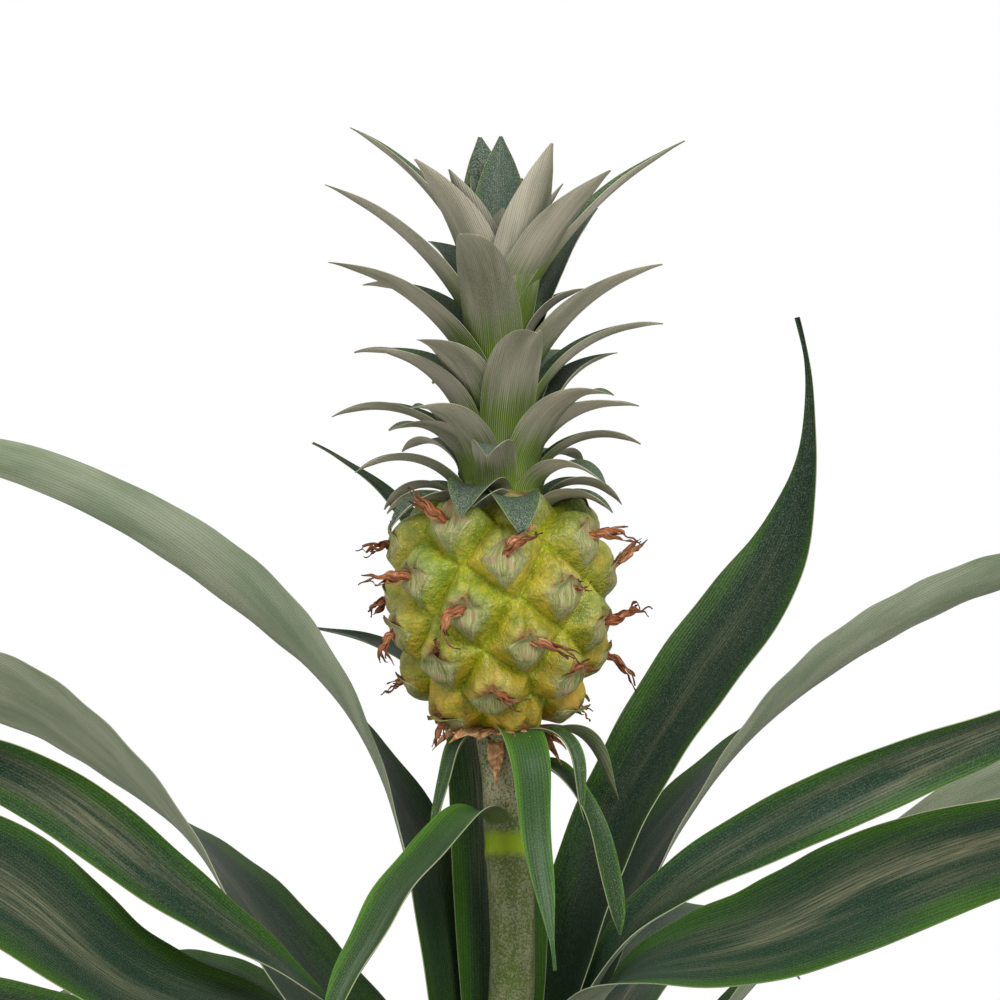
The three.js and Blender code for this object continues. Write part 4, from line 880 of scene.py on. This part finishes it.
dry = add_node(tree, "Math", {0: fibre, 1: 0.4, 2: along}, operation="MULTIPLY_ADD")
dry = add_node(tree, "MapRange", {"Value": dry, "From Min": 1.04, "From Max": 1.2})
paper = add_node(tree, "Mix", {0: dry, 6: paper, 7: "#7d553c"}, **BLENDED)
bump = add_node(tree, "Bump", {"Height": fibre, "Strength": 0.6, "Distance": 0.0005})
connect(tree, shader, Base_Color=paper, Normal=bump)

s = np.linspace(0, 1, TIPS_STEPS + 1)[:, None]
u = np.linspace(-1, 1, TIPS_ACROSS)
size = (0.85 + 0.25 * draw(eye_number, 14))[:, None, None]
stand = (0.9 + 0.4 * smoothstep(eye_number, 26, 33) + 0.6 * draw(eye_number, 13))[:, None, None]
half = through(TIP_HALF)(s) * size * (1 + 0.06 * np.sin(31 * s + eye_number[:, None, None]))
climb = through(TIP_RISE)(s) * size + 0 * u
base, off, _ = on_fruit(eye_azimuth[:, None, None] + half * u / eye_radius[:, None, None],
                        eye_way[:, None, None] + climb)
lift = through(TIP_LIFT)(s) * stand + 0.5 * s * (1 - u ** 2)
marks = np.stack(np.broadcast_arrays(half * u, climb, 9.1 * eye_number[:, None, None], u, s,
                                     draw(eye_number, 15)[:, None, None]), -1)
outer, inner = (np.concatenate([base + off * (lift - thick * (1 - s * 0.6))[..., None], marks], -1)
                for thick in (0, TIPS_THICK))
tip_rings = np.concatenate([outer[:, :, ::-1], inner], 2)[:, :, ::-1]
add_piece("fruit_bracts", surface(tip_rings[FIRST_OPEN_EYE:LAST_BRACT_EYE + 1]), [bract_paper],
          marks=["strip", "share"], sharp=70)

# Dry florets: the withered flowers, one out of each eye. Their shrivelled petals are flat ribbons,
# twisted together at the root, that part towards the end and curl to dark points.
FLORET_LENGTH = 9
FLORET_EXTRA = 6
FLORET_ROOT = 3
FLORET_BEND_FROM = 0.1
FLORET_BEND_TO = 0.4
FLORET_STEPS = 36
FLORET_STRETCH = 1.2
PETALS = 4
PETAL_SIDES = 8
# How the florets in view lie: length, heading, turn, rise and lift, by the number of their eye. The
# others follow the rule, whose length of 0 means that it is drawn.
FLORET_RULE = (0, 180, 0, 88, -85)
FLORET_TRAITS = {
    2: (12, 190, -20, 15, -10), 3: (9, 120, 20, 40, -10), 5: (14, 100, 15, 30, -10),
    7: (11, 180, 0, 50, 25), 8: (10, 20, 80, 40, 0), 10: (9, 0, 60, 35, 0), 11: (19, 180, 0, 80, -60),
    13: (19, 85, 45, 15, -20), 15: (15, 180, 0, 120, -170), 16: (20, 170, -330, 55, 0),
    18: (22, -30, -260, 20, -10), 20: (12, 180, 0, 85, -60), 21: (9, 70, 20, 45, -10),
    23: (19, -95, -15, 50, 0), 24: (16, 0, 10, 45, 5), 26: (17, -5, 95, 25, 0),
    28: (13, 180, 0, 85, -25), 29: (19, 60, 50, 55, 0), 31: (19, -50, 5, 25, 10),
    34: (18, 185, -5, 45, -40),
}

# Withered petals: crumpled and stringy, orange-brown with pinkish ribs, nearly black at the tip. The colour
# follows the bump's noise, so the creases carry painted shade and the ribs painted highlights over the
# petals' own colour.
withered, tree, shader = new_material("withered_petals", 0.6, Specular_IOR_Level=0.3)
strip, _, along, tone = read_marks(tree)
rays = add_node(tree, "Mapping", {"Vector": strip, "Scale": (1.6, 0.25, 1)})
crease = add_node(tree, "TexNoise", {"Vector": rays, "Scale": 1.1, "Detail": 4, "Roughness": 0.7})
# Painted shade and highlight: the ramp reads the same crease noise as the bump, darkest in its hollows and
# palest on its ridges.
dry = add_node(tree, "ValToRGB", {"Fac": crease}, stops=[
    (0.34, "#452818"), (0.46, "#8f5c3a"), (0.58, "#bb8259"),
    (0.7, "#e2bfa2")])
warm = add_node(tree, "Mix", {0: tone, 6: "#ffffff", 7: "#d8b49a"}, **BLENDED)
dry = add_node(tree, "Mix", {0: 1.0, 6: dry, 7: warm}, **MULTIPLIED)
burnt = add_node(tree, "MapRange", {"Value": along, "From Min": 0.7, "From Max": 0.98, "To Max": 0.85})
dry = add_node(tree, "Mix", {0: burnt, 6: dry, 7: "#2b1d17"}, **BLENDED)
bump = add_node(tree, "Bump", {"Height": crease, "Strength": 0.8, "Distance": 0.0006})
connect(tree, shader, Base_Color=dry, Normal=bump)

kept = eye_number[FIRST_OPEN_EYE:, None]
lies = np.array([FLORET_TRAITS.get(i, FLORET_RULE) for i in kept[:, 0]], float)
length, heading, turned_by, rise, lift = lies.T[..., None]
plain = length == 0
length = np.where(plain, FLORET_LENGTH + FLORET_EXTRA * draw(kept, 1), FLORET_STRETCH * length) + FLORET_ROOT
heading = heading + np.where(plain, 70 * (draw(kept, 2) - 0.5), 0)
turned_by = turned_by + np.where(plain, 120 * (draw(kept, 3) - 0.5), 0)
rise = rise + np.where(plain, 25 * (draw(kept, 5) - 0.5), 0)
t = np.linspace(0, 1, FLORET_STEPS + 1)
straight = 1 - smoothstep(t, FLORET_BEND_FROM, FLORET_BEND_TO)
crumple = np.sin(23 * t + 6 * draw(kept, 6)) + 0.7 * np.sin(41 * t + 6 * draw(kept, 7))
pitch = np.radians(rise + lift * t + (90 - rise) * straight + 14 * crumple * (1 - straight))
compass = np.radians(heading + turned_by * t + 16 * np.cos(29 * t + 6 * draw(kept, 9)) * (1 - straight))
upright = np.array([0, 0, 1])
side = eye_side[kept]
along = np.cos(compass)[..., None] * upright + np.sin(compass)[..., None] * side
level = np.cos(compass)[..., None] * side - np.sin(compass)[..., None] * upright
onward = np.sin(pitch)[..., None] * eye_out[kept] + np.cos(pitch)[..., None] * along
over = np.cross(onward, level)
step = onward * (length / FLORET_STEPS)[..., None]
path = eyes[kept] - FLORET_ROOT * eye_out[kept] + np.cumsum(step, 1) - step
petal = np.arange(PETALS)[:, None]
number = kept[..., None] + 70 * petal
reach = 0.6 + 0.4 * np.sort(draw(number, 24), 1) / np.max(draw(number, 24), 1, keepdims=True)
t = t * reach
wind = 2 * np.pi * petal / PETALS + 6 * draw(kept[..., None], 19)
wind = wind + (2 + 3 * draw(kept[..., None], 18)) * t
part = 0.5 + (0.8 + 3.2 * draw(number, 20)) * t ** 1.8
wide = (1.5 - 0.5 * t) * (1 - smoothstep(t / reach, 0.55, 1.02)) * (0.7 + 0.6 * draw(number, 21)) + 0.18
wide = wide * (1 + 0.22 * np.sin(21 * t + 5 * petal))
thin = 0.3 + 0.12 * np.sin(33 * t + 2 * petal)
twist = wind + 3 * (draw(number, 25) - 0.5) * t
spread = np.linspace(2 * np.pi, 0, PETAL_SIDES, endpoint=False)
flat, deep = wide[..., None] * np.cos(spread), thin[..., None] * np.sin(spread)
turn = twist[..., None]
across_1 = (part * np.cos(wind))[..., None] - flat * np.sin(turn) + deep * np.cos(turn)
across_2 = 0.7 * (part * np.sin(wind))[..., None] + flat * np.cos(turn) + deep * np.sin(turn)
places = (t * FLORET_STEPS)[..., None]
low, share = np.floor(places).astype(int), places % 1
high = np.minimum(low + 1, FLORET_STEPS)
row = np.arange(len(kept))[:, None, None, None]
middle, sideways, outwards = (
    (line[row, low] * (1 - share[..., None]) + line[row, high] * share[..., None])
    for line in (path, level, over))
strands = middle + sideways * across_1[..., None] + outwards * across_2[..., None]
marks = np.broadcast_arrays(spread * 1.2, (t * length[..., None])[..., None], 5.7 * number[..., None],
                            np.cos(spread), (t / reach)[..., None], draw(number, 22)[..., None])
strands = np.concatenate([strands, np.stack(marks, -1)], -1)
strands = strands.reshape(-1, FLORET_STEPS + 1, PETAL_SIDES, 9)
add_piece("dry_florets", surface(strands), [withered], marks=["strip", "share"], sharp=70)

# Collar under the fruit: a ragged frill of dried scales and a few dried bracts, thin as paper,
# where the stalk meets the lowest fruitlets.
COLLAR_SIDES = 180
COLLAR_INSIDE = 9
COLLAR_REACH = 19.5
COLLAR_PROFILE = [(0, 0.4), (0.5, 0.3), (1, -1.6), (1.02, -1.2), (0.5, 0.9), (0, 1)]
DRY_FIRST_NUMBER = 80
DRY_BRACTS = [
    dict(azimuth=-7, height=341, length=20, width=6.5, leans=[95, 165, 176, 172], twist=20),
    dict(azimuth=33, height=342, length=24, width=7, leans=[88, 104, 118, 128], twist=-70),
    dict(azimuth=48, height=342, length=27, width=5, leans=[86, 96, 132, 150], twist=60),
    dict(azimuth=62, height=342, length=22, width=4, leans=[88, 96, 106, 150], twist=90),
    dict(azimuth=-40, height=343, length=22, width=5, leans=[88, 92, 104, 120], twist=-40),
    dict(azimuth=150, height=342, length=22, width=6, leans=[88, 104, 128, 148], twist=40),
    dict(azimuth=-120, height=342, length=24, width=5, leans=[88, 96, 118, 140], twist=-60),
]

# Dried scale: brittle, translucent-looking tan paper, streaked with pink-brown along the fibres.
dried, tree, shader = new_material("dried_scale", 0.7, Specular_IOR_Level=0.25)
place = add_node(tree, "TexCoord", out=3)
grain = add_node(tree, "TexNoise", {"Vector": place, "Scale": 420, "Detail": 4, "Distortion": 0.8})
dry = add_node(tree, "ValToRGB", {"Fac": grain}, stops=[
    (0.32, "#5a3a27"), (0.48, "#a5764c"), (0.6, "#c39a6c"),
    (0.75, "#d8bc94")])
bump = add_node(tree, "Bump", {"Height": grain, "Strength": 0.6, "Distance": 0.0005})
connect(tree, shader, Base_Color=dry, Normal=bump)

turn = np.linspace(0, 2 * np.pi, COLLAR_SIDES, endpoint=False)
ragged = 1 + 0.07 * np.sin(5 * turn) + 0.05 * np.sin(13 * turn + 1) + 0.05 * np.sin(29 * turn + 2)
share, level = np.array(COLLAR_PROFILE).T[..., None]
reach = COLLAR_INSIDE + (COLLAR_REACH * ragged - COLLAR_INSIDE) * share
wave = 0.9 * share * np.sin(7 * turn + 2) + 0.5 * share * np.sin(17 * turn)
frill = np.stack([reach * np.sin(turn) + bow(STALK_TOP), -reach * np.cos(turn), STALK_TOP + level + wave], -1)
dry_rings = [blade(**{"number": DRY_FIRST_NUMBER + i, "radius": 6, "root_radius": 8, "wrap": 35, "cup": 40,
                      "middle": 0.5, "edge": 0.25, "ripple": 0.6, "across": 7, "steps": 24,
                      "outline": SLENDER_OUTLINE, **bract})[..., :3] for i, bract in enumerate(DRY_BRACTS)]
add_piece("collar_scales", surface(frill), [dried], sharp=70)
add_piece("dried_bracts", surface(dry_rings), [dried], sharp=70)

# Crown: the short leafy shoot on top of the fruit. Its leaves are small stiff gutters wound on a
# golden-angle spiral, curled down at the foot, long in the middle and upright at the heart.
CROWN_LEAVES = 49
CROWN_FOOT_LEAVES = 5
CROWN_CORE_TOP = 506
CROWN_CORE_STEPS = [10, 23, 39]
CROWN_ROOT = 2
CROWN_AXIS_SUNK = 4
CROWN_AXIS_FOOT = FRUIT_TOP - 6
CROWN_AXIS_SIDES = 48
CROWN_SHEATH = 13
CROWN_SHEATH_LEAN = -6
CROWN_CLASP = 1.02
CROWN_WRAP = 58
CROWN_CUP = 30
CROWN_STEPS = 36
CROWN_ACROSS = 11
CROWN_LEAN_STATIONS = 13
CROWN_ZERO_NUMBER = 50
CROWN_LEAN_SPREAD = 6
CROWN_START = 3 + 10 * GOLDEN_ANGLE
CROWN_OUTLINE = [[0.3, 1], [0.55, 0.86], [0.8, 0.48], [0.93, 0.2], [1, 0.05]]

# How the leaves change up the crown, as stations (leaf, value), and then what single leaves add
CROWN_RULES = {
    "height": [[0, 424.6], [10, 431.5], [23, 452], [31, 473], [39, 491], [44, 499], [49, 504]],
    "core": [[0, 19], [10, 17.5], [23, 14.5], [39, 9], [49, 5]],
    "length": [[0, 31], [8, 35], [16, 45], [21, 54], [29, 63], [37, 74], [41, 78], [44, 58], [47, 48],
               [49, 44]],
    "lean": [[0, 106], [8, 81], [16, 71], [21, 58], [29, 51], [37, 50], [41, 46], [44, 26], [47, 12],
             [49, 4]],
    "curl": [[0, 46], [8, 45], [16, 38], [21, 34], [29, 32], [37, 28], [41, 25], [44, 12], [47, 6], [49, 2]],
    "width": [[0, 13], [10, 16], [20, 20], [40, 22], [46, 18], [49, 15]],
}
CROWN_TRAITS = {
    -5: dict(height=-4, length=-5, width=3, lean=-8),
    -4: dict(height=-4, length=-6, lean=-6),
    -3: dict(azimuth=-5, height=-5, length=-8, width=4, lean=-16),
    -2: dict(height=-4, length=-6, lean=-6),
    -1: dict(height=-4, length=-4, width=4, lean=-8),
    0: dict(height=-3, width=2, lean=4),
    1: dict(height=-3, lean=6),
    2: dict(azimuth=-13, height=-4, width=5, lean=16),
    3: dict(height=-3, lean=6),
    4: dict(height=-3, lean=6),
    5: dict(azimuth=11, height=-2, length=-3, width=5, lean=20),
    6: dict(height=-2, lean=8),
    7: dict(azimuth=-4, lean=8),
    8: dict(height=-2, length=5, lean=4),
    10: dict(azimuth=-8, height=-1, length=3),
    12: dict(azimuth=8),
    15: dict(azimuth=4, height=-3, length=14, lean=-9, curl=4),
    16: dict(length=7, lean=6),
    17: dict(length=5, lean=-23),
    18: dict(azimuth=-14, height=-10, length=4),
    20: dict(height=-7, length=-8, lean=6),
    21: dict(length=-8, lean=-6),
    23: dict(azimuth=-4, height=-7, length=9, curl=8),
    24: dict(lean=10),
    25: dict(lean=5),
    26: dict(height=-6, length=-14),
    28: dict(azimuth=20, length=4, curl=-6),
    29: dict(azimuth=18, length=4, lean=3, curl=-5),
    30: dict(length=6, lean=-16, curl=-12),
    31: dict(azimuth=-7, height=-7, length=12, curl=10),
    32: dict(azimuth=25, length=-13, lean=9),
    33: dict(azimuth=20, length=-38),
    34: dict(azimuth=-25, length=6, lean=-7, curl=-8),
    36: dict(length=-4, lean=-25, curl=-16),
    37: dict(azimuth=-30, length=-30),
    38: dict(azimuth=-10, length=12, lean=-6, curl=-9),
    39: dict(azimuth=-20, length=-17, lean=-12, curl=-6),
    40: dict(length=-18, width=5, lean=-34, curl=-20),
    41: dict(azimuth=-10, height=-6, length=-13, width=3, lean=-3, curl=-8),
    42: dict(azimuth=-25, length=4, lean=-1),
    43: dict(length=-25, lean=-20, curl=-12),
    44: dict(length=-32, lean=-20),
    45: dict(length=-16, lean=-10),
    46: dict(length=-14, lean=12),
    47: dict(length=-6, lean=18),
    48: dict(length=3, width=6, lean=-2),
}

# Crown leaf skins: above, dark blue-green under a dense silver dust; below, a grey-beige felt
# ruled with fine veins, worn to bright green where the leaf clasps the axis.
crown_upper = leaf_upper("dusted_crown_leaf", "#34493a", "#405c2c", "#66705c",
                         "#a8aa9a", 0.8, 0.12, 0.5, 1.5)
crown_under = leaf_under("felted_crown_back", "#b3ac9a", "#5c6148", "#526c04", 0.4, 0.5, 0.65, 1.5)

crown_rules = {name: through(rule) for name, rule in CROWN_RULES.items()}
stations = np.linspace(0, 1, CROWN_LEAN_STATIONS)
crown_rings = []
for i in range(-CROWN_FOOT_LEAVES, CROWN_LEAVES):
    trait = CROWN_TRAITS.get(i, {})
    height, core, length, lean, curl, width = (
        rule(i) + trait.get(name, 0) for name, rule in crown_rules.items())
    azimuth = CROWN_START - GOLDEN_ANGLE * i + trait.get("azimuth", 0)
    lean = lean + CROWN_LEAN_SPREAD * (draw(i, 4) - 0.5)
    whole = length + CROWN_SHEATH
    sheath = CROWN_SHEATH / whole
    free = np.clip((stations - sheath) / (1 - sheath), 0, 1)
    bent = smoothstep(stations, 0.3 * sheath, 1.4 * sheath)
    leans = CROWN_SHEATH_LEAN + (lean - curl + 2 * curl * free - CROWN_SHEATH_LEAN) * bent
    outline = [[sheath, CROWN_CLASP], *[[sheath + (1 - sheath) * at, share] for at, share in CROWN_OUTLINE]]
    rings = blade(CROWN_ZERO_NUMBER + i, azimuth, height - CROWN_SHEATH, core - CROWN_ROOT, whole, width,
                  leans.tolist(), outline, CROWN_WRAP, CROWN_CUP, core, steps=CROWN_STEPS,
                  across=CROWN_ACROSS, middle=0.9, edge=0.25, ripple=0.15)
    turn = np.radians(azimuth)
    seat = np.array([(core - CROWN_ROOT) * np.sin(turn), -(core - CROWN_ROOT) * np.cos(turn), height])
    rings[..., :3] += seat - rings[round(sheath * CROWN_STEPS), CROWN_ACROSS // 2, :3]
    crown_rings.append(rings)
add_piece("crown_leaves", surface(crown_rings), [crown_upper, crown_under], ["crown"],
          marks=["strip", "share"], choice=faces_under(crown_rings))

# Crown axis: the short fleshy shoot that the crown's leaves clasp, bright green where it shows.
axis_skin, tree, shader = new_material("fleshy_crown_axis", 0.5)
place = add_node(tree, "TexCoord", out=3)
long = add_node(tree, "Mapping", {"Vector": place, "Scale": (1, 1, 0.15)})
streak = add_node(tree, "TexNoise", {"Vector": long, "Scale": 500, "Detail": 4})
shown = add_node(tree, "Mix", {0: streak, 6: "#33480f", 7: "#5f7822"}, **BLENDED)
bump = add_node(tree, "Bump", {"Height": streak, "Strength": 0.5, "Distance": 0.0005})
connect(tree, shader, Base_Color=shown, Normal=bump)

core_profile = rounded([
    [1, CROWN_AXIS_FOOT],
    [crown_rules["core"](0) - CROWN_AXIS_SUNK, CROWN_AXIS_FOOT],
    *[[crown_rules["core"](i) - CROWN_AXIS_SUNK, crown_rules["height"](i)] for i in CROWN_CORE_STEPS],
    [1, CROWN_CORE_TOP],
], 3)
add_piece("crown_axis", surface(turned(core_profile, CROWN_AXIS_SIDES)), [axis_skin])

# Floor: a plain pale sheet under the pot, wide enough for every view of the plant.
FLOOR_REACH = 1900
FLOOR_LEVEL = -0.2
FLOOR_SIDES = 96
matt_paper, tree, shader = new_material("matt_studio_paper", 0.9)
place = add_node(tree, "TexCoord", out=3)
tooth = add_node(tree, "TexNoise", {"Vector": place, "Scale": 60, "Detail": 5})
shown = add_node(tree, "Mix", {0: tooth, 6: "#e6e4e0", 7: "#eeece8"}, **BLENDED)
connect(tree, shader, Base_Color=shown)
points, faces = surface(turned([[1, FLOOR_LEVEL], [FLOOR_REACH, FLOOR_LEVEL]], FLOOR_SIDES))
upper_faces = faces[:2 * FLOOR_SIDES, ::-1]
mesh = bpy.data.meshes.new("studio_floor")
mesh.from_pydata((points * MM).tolist(), [], [face[face >= 0].tolist() for face in upper_faces])
mesh.materials.append(matt_paper)
floor = bpy.data.objects.new("studio_floor", mesh)
bpy.context.scene.collection.objects.link(floor)

# Light: a white studio all round, with a large soft box above on the right and a weaker one
# on the left. The backdrop itself is pure white, and throws a little less light on the plant.
LAMPS = [("key_box", (0.65, -1.5, 1.6), 0.9, 36), ("fill_box", (-1.3, -1.1, 1.2), 1.2, 9)]
LAMP_AIM = (0, 0, 0.38)
BACKDROP_LIGHT = 0.6
world = bpy.data.worlds.new("white_studio")
world.use_nodes = True
white = world.node_tree.nodes["Background"]
white.inputs["Color"].default_value = (1, 1, 1, 1)
seen = add_node(world.node_tree, "LightPath")
seen = add_node(world.node_tree, "MapRange", {"Value": seen, "To Min": BACKDROP_LIGHT})
world.node_tree.links.new(seen, white.inputs["Strength"])
bpy.context.scene.world = world
for name, spot, size, power in LAMPS:
    lamp = bpy.data.lights.new(name, "AREA")
    lamp.size, lamp.energy = size, power
    holder = bpy.data.objects.new(name, lamp)
    holder.location = spot
    x, y, z = np.array(spot) - LAMP_AIM
    holder.rotation_euler = (np.arctan2(np.hypot(x, y), z), 0, np.arctan2(y, x) + np.pi / 2)
    bpy.context.scene.collection.objects.link(holder)

# Camera: level, in front of the plant and as high as the middle of the fruit. Its lens makes one
# pixel of the picture 0.35 mm at the plant.
CAMERA_AWAY = 1.5
CAMERA_HEIGHT = 0.423
PICTURE_WIDTH = 0.35
lens = bpy.data.cameras.new("camera")
lens.lens = lens.sensor_width * CAMERA_AWAY / PICTURE_WIDTH
camera = bpy.data.objects.new("camera", lens)
camera.location = (0, -CAMERA_AWAY, CAMERA_HEIGHT)
camera.rotation_euler = (np.pi / 2, 0, 0)
bpy.context.scene.collection.objects.link(camera)
bpy.context.scene.camera = camera
bpy.context.scene.view_settings.view_transform = "Standard"
